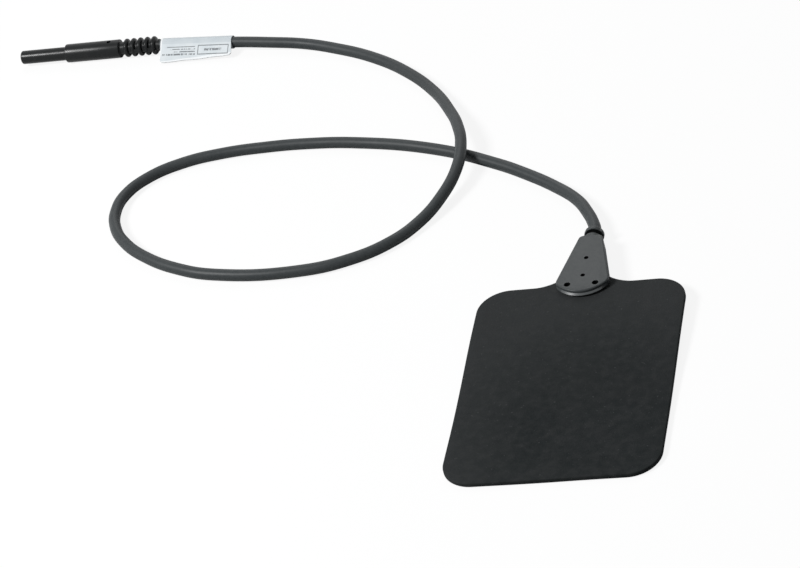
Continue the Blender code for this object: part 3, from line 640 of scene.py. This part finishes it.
nose_point = (0, FAN_FRONT + nose_radius - nose_radius / cos(nose_turn))
corner_turn = side_lean + pi / 2 - nose_turn
corner_aim = side_lean - corner_turn / 2
corner_reach = FAN_CORNER_RADIUS / cos(corner_turn / 2)
corner_point = (centre_x + corner_reach * cos(corner_aim),
                centre_y + corner_reach * sin(corner_aim))

fan = plate(mirrored([nose_point, corner_point, (NECK_HALF, FAN_REAR)]), 0, FAN_HEIGHT)
round_corner(fan, nose_point, nose_radius, 28)
for side in (-1, 1):
    round_corner(fan, (side * corner_point[0], corner_point[1]), FAN_CORNER_RADIUS, 12)
    round_corner(fan, (side * NECK_HALF, FAN_REAR), NECK_CORNER_RADIUS, 8)
bmesh.ops.remove_doubles(fan, verts=fan.verts, dist=10 * SAME)
cut_across(fan, (0, 0, 1), SKIRT_FOOT, SKIRT_FOOT + 1.5 * SKIRT_HEIGHT, SKIRT_HEIGHT)
fan.normal_update()
for vert in fan.verts:
    if vert.co.z > SKIRT_FOOT + SAME:
        share = soft_step((SKIRT_END - vert.co.y) / SKIRT_FADE)
        vert.co -= vert.normal.xy.normalized().to_3d() * SKIRT_DEPTH * share
bevel(fan, level_edges(fan, 0), FAN_RIM, 6)
bevel(fan, level_edges(fan, FAN_HEIGHT), FACE_RIM, 4)
moulding = new_piece("fan_moulding", fan, moulding_finish)
print("fan faces:", len(moulding.data.polygons))

# %% [markdown]
# The neck ends in a short round ring. Behind it the moulding dips into a deep groove, where it
# can bend with the lead, and ends in a collar. All three are turned from one profile about the
# lead's axis and joined to the fan. A second, stepped profile cuts the collar's shallow seat for
# the jacket and the narrow bore for the bare wire in one go.

# %% Ring, groove and collar
RING_RADIUS = 2.8 * MM
RING_LENGTH = 1.5 * MM
GROOVE_RADIUS = 1.9 * MM
GROOVE_LENGTH = 1.4 * MM
COLLAR_RADIUS = 2.9 * MM
CRISP_EDGE = 0.25 * MM
SOFT_EDGE = 0.6 * MM
LEAD_DIAMETER = 3.6 * MM
LEAD_SEAT = LEAD_DIAMETER + 0.08 * MM
SEAT_DEPTH = 1.0 * MM
WIRE_BORE = 0.9 * MM

ring_root = FAN_REAR - 0.65 * MM
ring_end = FAN_REAR + RING_LENGTH
collar_start = ring_end + GROOVE_LENGTH
collar_end = moulding_high.y
profile = [(ring_root, 0), (ring_root, RING_RADIUS)]
profile += arc((ring_end - SOFT_EDGE, RING_RADIUS - SOFT_EDGE), SOFT_EDGE, 90, 0)
profile += [(ring_end, GROOVE_RADIUS), (collar_start, GROOVE_RADIUS)]
profile += arc((collar_start + CRISP_EDGE, COLLAR_RADIUS - CRISP_EDGE), CRISP_EDGE, 180, 90)
profile += arc((collar_end - SOFT_EDGE, COLLAR_RADIUS - SOFT_EDGE), SOFT_EDGE, 90, 0)
profile.append((collar_end, 0))
collar = turned(profile, BORE_SIDES)
bmesh.ops.translate(collar, verts=collar.verts, vec=(0, 0, lead_height))
combine(moulding, collar, "UNION")
bore_start, outside = FAN_REAR - 2 * MM, collar_end + 5 * MM
seat = turned([(bore_start, 0), (bore_start, WIRE_BORE), (collar_end - SEAT_DEPTH, WIRE_BORE),
               (collar_end - SEAT_DEPTH, LEAD_SEAT / 2), (outside, LEAD_SEAT / 2), (outside, 0)],
              BORE_SIDES)
bmesh.ops.translate(seat, verts=seat.verts, vec=(0, 0, lead_height))
combine(moulding, seat, "DIFFERENCE")
print("collar from", round(collar_start / MM, 2), "to", round(collar_end / MM, 2), "mm")

# %% [markdown]
# The pad's tongue, the contact plate and the crimp need their room inside, and four small round
# holes open from the upper face onto them: two wide ones near the nose and two small ones on
# the middle line. They are left by the pins that hold the insert while the plastic flows in.

# %% Room inside and holes
PLAY = 0.3 * MM
PLATE_ROOM_TOP = 4.6 * MM
CRIMP_ROOM_HALF = 1.6 * MM
CRIMP_ROOM_END = FAN_REAR - 1.3 * MM
WIDE_HOLE, SMALL_HOLE = 1.9 * MM, 1.35 * MM
WIDE_HOLE_ASIDE, WIDE_HOLE_INSET = 4.05 * MM, 3.5 * MM
SMALL_HOLE_INSETS = (7.3 * MM, 15.3 * MM)
slot_low = PAD_RISE - PLAY
slot_high = SKIRT_FOOT - 0.05 * MM
beyond, above = 20 * MM, 9 * MM

slot = block((-beyond, 0, slot_low), (beyond, shoulder + PLAY, slot_high))
tongue_room = plate(mirrored([(root_half + PLAY, shoulder), (tip_half + PLAY, tongue_tip + PLAY)]),
                    slot_low, PLATE_ROOM_TOP)
crimp_room = block((-CRIMP_ROOM_HALF, tongue_tip - PLAY, lead_height - CRIMP_ROOM_HALF),
                   (CRIMP_ROOM_HALF, CRIMP_ROOM_END, PLATE_ROOM_TOP))
for room in (slot, tongue_room, crimp_room):
    combine(moulding, room, "DIFFERENCE")

holes = bmesh.new()
hole_places = [Vector((side * WIDE_HOLE_ASIDE, FAN_FRONT + WIDE_HOLE_INSET)) for side in (-1, 1)]
hole_places += [Vector((0, FAN_FRONT + inset)) for inset in SMALL_HOLE_INSETS]
for place, diameter in zip(hole_places, (WIDE_HOLE, WIDE_HOLE, SMALL_HOLE, SMALL_HOLE)):
    upright_pin(holes, diameter, place.x, place.y, lead_height, above)
combine(moulding, holes, "DIFFERENCE")
heal(moulding)
print("holes cut:", len(hole_places))

# %% [markdown]
# Two more finishes go onto single faces of the moulding. The groove and the walls of the holes
# get the painted shade, nearly black, and the lip of the skirt gets a smoother, glossier grey,
# painted a little lighter as a painted highlight.

# %% Faces with a finish of their own
UPRIGHT = 0.3
NEAR_HOLE = 1 * MM
SLOPING = (0.4, 0.9)
GREY, PAINTED_SHADE, LIP_HIGHLIGHT = 0, 1, 2

moulding.data.materials.append(painted_shade_finish)
moulding.data.materials.append(lip_highlight_finish)
for face in moulding.data.polygons:
    middle, normal = face.center, face.normal
    # the groove and the walls of the holes take the painted shade
    in_groove = ring_end - SAME < middle.y < collar_start + SAME
    in_hole = abs(normal.z) < UPRIGHT and middle.z > lead_height and any(
        (middle.xy - place).length < NEAR_HOLE for place in hole_places)
    # the lip of the skirt takes the painted highlight
    on_lip = SLOPING[0] < normal.z < SLOPING[1] \
        and SKIRT_FOOT < middle.z < SKIRT_FOOT + SKIRT_HEIGHT
    face.material_index = PAINTED_SHADE if in_groove or in_hole else LIP_HIGHLIGHT if on_lip else GREY
used = [face.material_index for face in moulding.data.polygons]
print("faces in core and lip finish:", used.count(PAINTED_SHADE), used.count(LIP_HIGHLIGHT))
settle(moulding, "soft_plastic", "connector_moulding")

# %% [markdown]
# ## The lead
#
# The lead is 3.6 mm thick and about half a metre long. It leaves the collar straight, turns left
# in a wide loop on the table, crosses over itself in a long low hump and runs through the tag
# into the plug. It is a curve with a round bevel. The route's points are given where the lead
# lies, in metres, and automatic handles make one smooth line of them.

# %% Lead route
PLUG_REAR = Vector((-0.1633, 0.1769, 0.0031))
PLUG_HEADING = radians(178.7)
TAG_HEADING = radians(-6.6)
TAG_STANDOFF = 1.0 * MM
TAG_LENGTH = 25.5 * MM
LEAD_ROUTE = (
    (-0.0010, 0.0570, 0.0029), (-0.0035, 0.0628, 0.0027), (-0.0079, 0.0705, 0.0021),
    (-0.0157, 0.0785, 0.0018), (-0.0253, 0.0860, 0.0018), (-0.0351, 0.0925, 0.0018),
    (-0.0567, 0.1035, 0.0018), (-0.0836, 0.1110, 0.0018), (-0.0997, 0.1130, 0.0018),
    (-0.1134, 0.1132, 0.0018), (-0.1272, 0.1121, 0.0018), (-0.1399, 0.1088, 0.0018),
    (-0.1498, 0.1026, 0.0018), (-0.1553, 0.0946, 0.0018), (-0.1564, 0.0859, 0.0018),
    (-0.1543, 0.0774, 0.0018), (-0.1491, 0.0691, 0.0018), (-0.1405, 0.0610, 0.0018),
    (-0.1289, 0.0539, 0.0018), (-0.1159, 0.0493, 0.0018), (-0.0881, 0.0476, 0.0018),
    (-0.0746, 0.0508, 0.0018), (-0.0635, 0.0571, 0.0018), (-0.0554, 0.0664, 0.0019),
    (-0.0497, 0.0767, 0.0033), (-0.0465, 0.0877, 0.0051), (-0.0469, 0.0993, 0.0058),
    (-0.0498, 0.1101, 0.0050), (-0.0545, 0.1213, 0.0032), (-0.0619, 0.1345, 0.0019),
    (-0.0729, 0.1472, 0.0018), (-0.0864, 0.1580, 0.0018), (-0.1008, 0.1658, 0.0018),
    (-0.1120, 0.1699, 0.0021), (-0.1245, 0.1722, 0.0026))

along_plug = Vector((cos(PLUG_HEADING), sin(PLUG_HEADING), 0))
along_tag = Vector((cos(TAG_HEADING), sin(TAG_HEADING), 0))
IN_SEAT = 0.7 * MM
STRAIGHT_OUT = 1.8 * MM
lead_start = Vector((0, collar_end - IN_SEAT, lead_height))
route = [lead_start, lead_start + Vector((0, STRAIGHT_OUT, 0))]
route += [Vector(place) for place in LEAD_ROUTE]
route += [PLUG_REAR + along_tag * (TAG_STANDOFF + TAG_LENGTH) * share for share in (1, 0.15)]
route.append(PLUG_REAR + along_plug * IN_SEAT)
print("route points:", len(route))

# %% Lead
lead_curve = bpy.data.curves.new("lead_jacket", "CURVE")
lead_curve.dimensions = "3D"
lead_curve.bevel_depth = LEAD_DIAMETER / 2
lead_curve.bevel_resolution = 6
lead_curve.resolution_u = 12
lead_curve.use_fill_caps = True
spline = lead_curve.splines.new("BEZIER")
spline.bezier_points.add(len(route) - 1)
for knot, place in zip(spline.bezier_points, route):
    knot.co = place
    knot.handle_left_type = knot.handle_right_type = "AUTO"
lead_curve.materials.append(jacket_finish)
lead = bpy.data.objects.new("lead_jacket", lead_curve)
scene.collection.objects.link(lead)
bpy.context.view_layer.update()
settle(lead, "lead_jacket", "lead")

# %% [markdown]
# ## The plug
#
# Grip and relief are one moulding, turned about the plug's axis. The relief is a core that
# thickens towards the grip, with five rounded ribs. Seen along its flank a rib is the square
# root of a cosine: steep at its foot and round at its crest. The profile goes on down the
# stepped bore, which leaves room for the nose sleeve, the socket and the conductor.

# %% Plug profile
GRIP_RADIUS = 3.08 * MM
GRIP_START = 14 * MM
GRIP_FRONT = 33.4 * MM
CORE_REAR = 1.98 * MM
CORE_FRONT = 2.18 * MM
RIB_COUNT = 5
FIRST_RIB = 1.9 * MM
RIB_PITCH = 2.425 * MM
RIB_HALF = 0.82 * MM
RIB_STEPS = 12
REAR_EDGE = 0.05 * MM
SHOULDER_FILLET = 0.15 * MM
GRIP_REAR_ROUND = 0.3 * MM
GRIP_FRONT_ROUND = 0.4 * MM
SHANK_RADIUS = 1.95 * MM
SHANK_BORE = SHANK_RADIUS + 0.05 * MM
SHANK_REAR = 22.7 * MM
SLEEVE_BORE = 1.55 * MM
SOCKET_REAR = 18.9 * MM


def core_radius(along):
    return CORE_REAR + (CORE_FRONT - CORE_REAR) * along / GRIP_START


body_profile = [(SEAT_DEPTH, WIRE_BORE), (SEAT_DEPTH, LEAD_SEAT / 2), (0, LEAD_SEAT / 2),
                (0, core_radius(0) - REAR_EDGE), (REAR_EDGE, core_radius(0))]
for rib in range(RIB_COUNT):
    middle = FIRST_RIB + rib * RIB_PITCH
    core = core_radius(middle)
    for step in range(RIB_STEPS + 1):
        share = 2 * step / RIB_STEPS - 1
        height = sqrt(max(cos(pi / 2 * share), 0))
        body_profile.append((middle + share * RIB_HALF, core + (GRIP_RADIUS - core) * height))
body_profile += [(GRIP_START - SHOULDER_FILLET, CORE_FRONT),
                 (GRIP_START, CORE_FRONT + SHOULDER_FILLET)]
body_profile += arc((GRIP_START + GRIP_REAR_ROUND, GRIP_RADIUS - GRIP_REAR_ROUND),
                    GRIP_REAR_ROUND, 180, 90, 4)
body_profile += arc((GRIP_FRONT - GRIP_FRONT_ROUND, GRIP_RADIUS - GRIP_FRONT_ROUND),
                    GRIP_FRONT_ROUND, 90, 0, 4)
body_profile += [(GRIP_FRONT, SHANK_BORE),
                 (SHANK_REAR - PLAY, SHANK_BORE), (SHANK_REAR - PLAY, SLEEVE_BORE),
                 (SOCKET_REAR - PLAY, SLEEVE_BORE), (SOCKET_REAR - PLAY, WIRE_BORE)]
print("points in the plug's profile:", len(body_profile))

# %% [markdown]
# Small webs at both sides close every second groove, so that the relief bends evenly. They and
# the blind hole in the top of the grip are joined and cut once the body stands in its place.

# %% Plug body
WEB_HALF = 0.75 * MM
WEB_INNER, WEB_OUTER = 1.8 * MM, 2.73 * MM
GRIP_HOLE = 1.4 * MM
GRIP_HOLE_PLACE = 17.6 * MM
GRIP_HOLE_DEPTH = 1.1 * MM


def to_plug(shape):
    """Move a shape from the plug's own axis, +Y towards the tip, to its place on the table."""
    turn = Matrix.Rotation(PLUG_HEADING - pi / 2, 4, "Z")
    bmesh.ops.transform(shape, matrix=Matrix.Translation(PLUG_REAR) @ turn, verts=shape.verts)
    return shape


plug = new_piece("plug_grip", to_plug(turned(body_profile, PLUG_SIDES)), plug_finish)
for groove in (0, 2):
    start = FIRST_RIB + groove * RIB_PITCH
    for low, high in ((-WEB_OUTER, -WEB_INNER), (WEB_INNER, WEB_OUTER)):
        web = block((low, start, -WEB_HALF), (high, start + RIB_PITCH, WEB_HALF))
        combine(plug, to_plug(web), "UNION")
hole = bmesh.new()
upright_pin(hole, GRIP_HOLE, 0, GRIP_HOLE_PLACE, GRIP_RADIUS - GRIP_HOLE_DEPTH, 2 * GRIP_RADIUS)
combine(plug, to_plug(hole), "DIFFERENCE")
heal(plug)
settle(plug, "plug_plastic", "plug_body")

# %% [markdown]
# The nose is a separate stiff sleeve round the metal socket. It is thinner than the grip, stands
# out 16 mm and ends in a rounded lip with a narrow mouth. A thinner shank holds it in the grip.

# %% Plug nose
NOSE_RADIUS = 2.24 * MM
NOSE_TIP = 49.6 * MM
NOSE_MOUTH = 1.2 * MM
MOUTH_DEPTH = 1 * MM
LIP_ROUND = 0.25 * MM
TIP_ROUND = 0.5 * MM

nose_profile = [(SHANK_REAR, SLEEVE_BORE), (SHANK_REAR, SHANK_RADIUS), (GRIP_FRONT, SHANK_RADIUS),
                (GRIP_FRONT, NOSE_RADIUS)]
nose_profile += arc((NOSE_TIP - TIP_ROUND, NOSE_RADIUS - TIP_ROUND), TIP_ROUND, 90, 0)
nose_profile += arc((NOSE_TIP - LIP_ROUND, NOSE_MOUTH + LIP_ROUND), LIP_ROUND, 0, -90, 4)
nose_profile += [(NOSE_TIP - MOUTH_DEPTH, NOSE_MOUTH), (NOSE_TIP - MOUTH_DEPTH, SLEEVE_BORE)]
nose = new_piece("plug_nose", to_plug(turned(nose_profile, PLUG_SIDES)), plug_finish)
settle(nose, "plug_plastic", "nose_sleeve")

# %% [markdown]
# ## The tag
#
# A strip of white film is laid round the lead, and its two ends are pressed together into a
# flag that slopes down to the table. The section is drawn across the lead: round the wrap, then
# out to the tip. Pulled along the lead it becomes the tag. The flag's free edge runs at a slant
# and its ends lean a little away from the plug, because the strip was folded askew. Its corners
# are round.

# %% Tag section
WRAP_RADIUS = 2.15 * MM
FILM_THICK = 0.3 * MM
FLAG_REACH = 7.2 * MM
FLAG_TAPER = 2.2 * MM
FLAG_LEAN = 0.6 * MM
FLAG_TIP_HEIGHT = 0.5 * MM
FLAG_CORNER = 1.1 * MM
WRAP_STEPS = 40

tip = Vector((FLAG_REACH, FLAG_TIP_HEIGHT - PLUG_REAR.z))
upper_angle = atan2(tip.y, tip.x) + acos(WRAP_RADIUS / tip.length)
flag_normal = Vector((cos(upper_angle), sin(upper_angle)))
lower_angle = upper_angle - acos(1 - FILM_THICK / WRAP_RADIUS)
lower_tip = tip - flag_normal * FILM_THICK
flag_outward = (tip - flag_normal * WRAP_RADIUS).normalized()

section = []
for step in range(WRAP_STEPS + 1):
    angle = upper_angle + (lower_angle + 2 * pi - upper_angle) * step / WRAP_STEPS
    section.append((WRAP_RADIUS * cos(angle), WRAP_RADIUS * sin(angle)))
section += [tuple(lower_tip), tuple(tip)]
film = plate(section, 0, TAG_LENGTH)


def lies_over(vert, place):
    """True if the vertex stands over a point of the section."""
    return (vert.co.xy - place).length < SAME


flag_edges = []
for edge in film.edges:
    first, second = edge.verts
    if lies_over(first, tip) and lies_over(second, lower_tip) \
            or lies_over(first, lower_tip) and lies_over(second, tip):
        flag_edges.append(edge)
tip_verts = [vert for edge in flag_edges for vert in edge.verts]
far_verts = [vert for vert in tip_verts if vert.co.z > SAME]
bmesh.ops.translate(film, verts=far_verts, vec=-flag_outward.to_3d() * FLAG_TAPER)
bmesh.ops.translate(film, verts=tip_verts, vec=(0, 0, FLAG_LEAN))
bevel(film, flag_edges, FLAG_CORNER, 8)
print("tag section points:", len(section), "corners:", len(flag_edges))

# %% [markdown]
# The film is cut into short bands so that it can curl a little: its lower edge waves by a tenth
# of a millimetre, as a pressed label does. A UV map in millimetres, along the lead and out from
# it, is laid over the upper side alone, because the print reads it.

# %% Tag
BAND_ALONG = 1.5 * MM
BAND_OUTWARD = 0.8 * MM
UPPER_SIDE = 0.3
OFF_THE_PRINT = (-10, -10)

lay_down = Matrix(((1, 0, 0, 0), (0, 0, 1, TAG_STANDOFF), (0, 1, 0, 0), (0, 0, 0, 1)))
bmesh.ops.transform(film, matrix=lay_down, verts=film.verts)
bmesh.ops.recalc_face_normals(film, faces=film.faces)
tag = new_piece("tag_film", film)
combine(tag, bar_along(LEAD_SEAT, -TAG_LENGTH, 2 * TAG_LENGTH), "DIFFERENCE")

film = bmesh.new()
film.from_mesh(tag.data)
cut_across(film, (0, 1, 0), TAG_STANDOFF + BAND_ALONG, TAG_STANDOFF + TAG_LENGTH, BAND_ALONG)
cut_across(film, (1, 0, 0), WRAP_RADIUS + 0.5 * MM, FLAG_REACH, BAND_OUTWARD)
print_map = film.loops.layers.uv.new("print")
for face in film.faces:
    for loop in face.loops:
        place = loop.vert.co
        on_top = face.normal.z > UPPER_SIDE
        loop[print_map].uv = (place.y / MM, place.x / MM) if on_top else OFF_THE_PRINT
for vert in film.verts:
    free = max(vert.co.x - WRAP_RADIUS, 0) / (FLAG_REACH - WRAP_RADIUS)
    along = vert.co.y / TAG_LENGTH
    vert.co.z += free * free * (0.12 * sin(along * 7) + 0.10 * sin(along * 17 + 1) + 0.12) * MM
bmesh.ops.transform(film, verts=film.verts, matrix=Matrix.Translation(PLUG_REAR)
                    @ Matrix.Rotation(TAG_HEADING - pi / 2, 4, "Z"))
film.to_mesh(tag.data)
film.free()
smooth_faces(tag.data)
print("tag faces:", len(tag.data.polygons))

# %% [markdown]
# The print is a plain stand-in: one thin rule, three rows of short grey blocks like small type,
# and a framed field, all without a word. Each bar is two Compare nodes on the UV map, one for
# its length and one for its height. The rows are broken up by a noise that runs along them only.

# %% Print on the tag
film_finish, nodes, links, shader = new_finish("tag_film", specular=0.2)
uv_map = nodes.new("ShaderNodeUVMap")
uv_map.uv_map = "print"
axes = nodes.new("ShaderNodeSeparateXYZ")
links.new(uv_map.outputs["UV"], axes.inputs["Vector"])
along, outward = axes.outputs["X"], axes.outputs["Y"]


def calculate(operation, *values):
    """One Math node in the node tree at hand, on sockets or numbers."""
    node = nodes.new("ShaderNodeMath")
    node.operation = operation
    for socket, value in zip(node.inputs, values):
        if isinstance(value, (int, float)):
            socket.default_value = value
        else:
            links.new(value, socket)
    return node.outputs["Value"]


def bar(left, right, low, high):
    """1 inside a rectangle of the UV map, in millimetres, and 0 outside."""
    across = calculate("COMPARE", along, (left + right) / 2, (right - left) / 2)
    upright = calculate("COMPARE", outward, (low + high) / 2, (high - low) / 2)
    return calculate("MULTIPLY", across, upright)


letters = nodes.new("ShaderNodeTexNoise")
letters.noise_dimensions = "2D"
letters.inputs["Scale"].default_value = 2.2
letters.inputs["Detail"].default_value = 1.0
stretched = nodes.new("ShaderNodeCombineXYZ")
links.new(along, stretched.inputs["X"])
links.new(calculate("MULTIPLY", calculate("ROUND", outward), 3.7), stretched.inputs["Y"])
links.new(stretched.outputs["Vector"], letters.inputs["Vector"])
inked = calculate("GREATER_THAN", letters.outputs["Fac"], 0.42)

rows = bar(4.8, 13.9, 3.25, 3.55)
for box in ((6.0, 13.9, 3.95, 4.28), (2.2, 14.0, 4.62, 5.12), (17.2, 23.4, 3.35, 4.00)):
    rows = calculate("MAXIMUM", rows, bar(*box))
field = calculate("SUBTRACT", bar(14.8, 25.9, 2.35, 5.05), bar(15.1, 25.6, 2.62, 4.78))
ink = calculate("MAXIMUM", calculate("MULTIPLY", rows, inked), bar(3.6, 13.8, 2.62, 2.86))
ink = calculate("MAXIMUM", ink, field)
print("print drawn with", len(nodes), "nodes")

# %% [markdown]
# Under the print the film is smooth, cool white and thin. Where it hugs the lead its tone is
# painted darker, as painted shade, and along the cut edges it is painted whitest, as a painted
# highlight. A slow crinkle in the bump breaks up its gloss.

# %% Film finish
tone = add_ramp(nodes, links, add_noise(nodes, links, 260, 3.0), [
    (0.3, (0.60, 0.65, 0.68)), (0.7, (0.68, 0.72, 0.74))])
# painted shade: the film is darker where it hugs the lead
painted_shade_over_lead = calculate("COMPARE", outward, 0.6, 1.2)
cut_line = calculate("MULTIPLY_ADD", along, -FLAG_TAPER / TAG_LENGTH, FLAG_REACH / MM - 0.25)
# painted highlight: the film is whitest along its cut edges
painted_edge_highlight = calculate("MAXIMUM", calculate("GREATER_THAN", outward, cut_line),
                      bar(TAG_STANDOFF / MM, TAG_STANDOFF / MM + 0.6, -3, 8))
for place, colour, share in ((painted_shade_over_lead, (0.42, 0.47, 0.50), 0.35),
                             (painted_edge_highlight, (0.86, 0.88, 0.89), 0.8),
                             (ink, (0.10, 0.11, 0.12), 0.8)):
    tone = add_layer(nodes, links, tone, colour, calculate("MULTIPLY", place, share))
links.new(tone, shader.inputs["Base Color"])
crinkle = add_noise(nodes, links, 160, 3.0)
links.new(add_ramp(nodes, links, crinkle, [(0.3, 0.28), (0.7, 0.40)]), shader.inputs["Roughness"])
add_bump(nodes, links, shader, [(crinkle, 0.10 * MM)])
tag.data.materials.clear()
tag.data.materials.append(film_finish)
settle(tag, "tag_film", "tag")

# %% [markdown]

print("lead built")

# %% [markdown]
# ## Table and light
#
# The background is white for every ray that shows it: from the camera, off a glossy face and
# through glass. Light that only bounces about finds a mid-grey table and a dim cool sky
# instead, because dark rubber on a really white table would be lit from below until it looked
# flat. One helper tells the two kinds of ray apart, and one gives each its shader.

# %% Rays that see the background
def seen_ray(*kinds):
    """1 for rays of the given kinds and 0 for all others."""
    rays = nodes.new("ShaderNodeLightPath")
    found = rays.outputs[kinds[0]]
    for kind in kinds[1:]:
        found = calculate("MAXIMUM", found, rays.outputs[kind])
    return found


def share_rays(share, rest, shown, output):
    """Give one shader to the share of rays that see it and another to the rest."""
    mix = nodes.new("ShaderNodeMixShader")
    for source, socket in zip((share, rest, shown), mix.inputs):
        links.new(source, socket)
    links.new(mix.outputs["Shader"], nodes[output].inputs["Surface"])


SHOWN = ("Is Camera Ray", "Is Glossy Ray", "Is Transmission Ray")
print("background shows to:", ", ".join(SHOWN))

# %% [markdown]
# The table is matt paper. For the camera most of its white is its own, which keeps the shadows
# on it faint.

# %% Table
WHITE_SHARE = 0.88
TABLE_HALF = 3.0
TABLE_DROP = 0.05 * MM

table_mesh = bmesh.new()
bmesh.ops.create_grid(table_mesh, x_segments=1, y_segments=1, size=TABLE_HALF,
                      matrix=Matrix.Translation((0, 0, -TABLE_DROP)))
table_finish, nodes, links, shader = new_finish("white_table", specular=0.1)
fibres = add_noise(nodes, links, 300, 3.0)
grey = add_ramp(nodes, links, fibres, [(0.3, 0.24), (0.7, 0.26)])
paper = add_layer(nodes, links, grey, (0.98, 0.98, 0.98), seen_ray(*SHOWN))
links.new(paper, shader.inputs["Base Color"])
links.new(add_ramp(nodes, links, fibres, [(0.3, 0.85), (0.7, 0.95)]), shader.inputs["Roughness"])
white = nodes.new("ShaderNodeEmission")
own_white = calculate("MULTIPLY", seen_ray("Is Camera Ray"), WHITE_SHARE)
share_rays(own_white, shader.outputs["BSDF"], white.outputs["Emission"], "Material Output")
table = new_piece("table", table_mesh, table_finish)
print("table laid")

# %% [markdown]
# The world does the same: plain white where it is seen, which draws the pale line along the
# upper edge of the black plug, and a dim sky for the rest, so that the lamps can model the
# round forms.

# %% World
SKY_LEVEL = 0.16

world = bpy.data.worlds.new("studio")
world.use_nodes = True
scene.world = world
nodes, links = world.node_tree.nodes, world.node_tree.links
sky = nodes["Background"]
sky.inputs["Color"].default_value = (0.93, 0.96, 1.0, 1)
sky.inputs["Strength"].default_value = SKY_LEVEL
backdrop = nodes.new("ShaderNodeBackground")
backdrop.inputs["Color"].default_value = (1, 1, 1, 1)
share_rays(seen_ray(*SHOWN), sky.outputs["Background"], backdrop.outputs["Background"],
           "World Output")
print("world made")

# %% [markdown]
# The key lamp is a soft box on the left, a little in front and about forty-five degrees up. It
# draws the long highlights on plug and lead and throws the short shadow on the right of the
# moulding. A weak lamp behind lifts the far edges.

# %% Lamps
def soft_lamp(name, place, aim, size, power):
    lamp_data = bpy.data.lights.new(name, "AREA")
    lamp_data.size = size
    lamp_data.energy = power
    lamp = bpy.data.objects.new(name, lamp_data)
    lamp.location = place
    lamp.rotation_euler = (Vector(aim) - Vector(place)).to_track_quat("-Z", "Y").to_euler()
    scene.collection.objects.link(lamp)


LAMP_AIM = (-0.09, 0.07, 0)
soft_lamp("key_lamp", (-0.82, -0.38, 0.90), LAMP_AIM, 0.32, 16)
soft_lamp("rear_lamp", (-0.20, 0.95, 0.85), LAMP_AIM, 0.6, 2.5)
scene.view_settings.view_transform = "Standard"
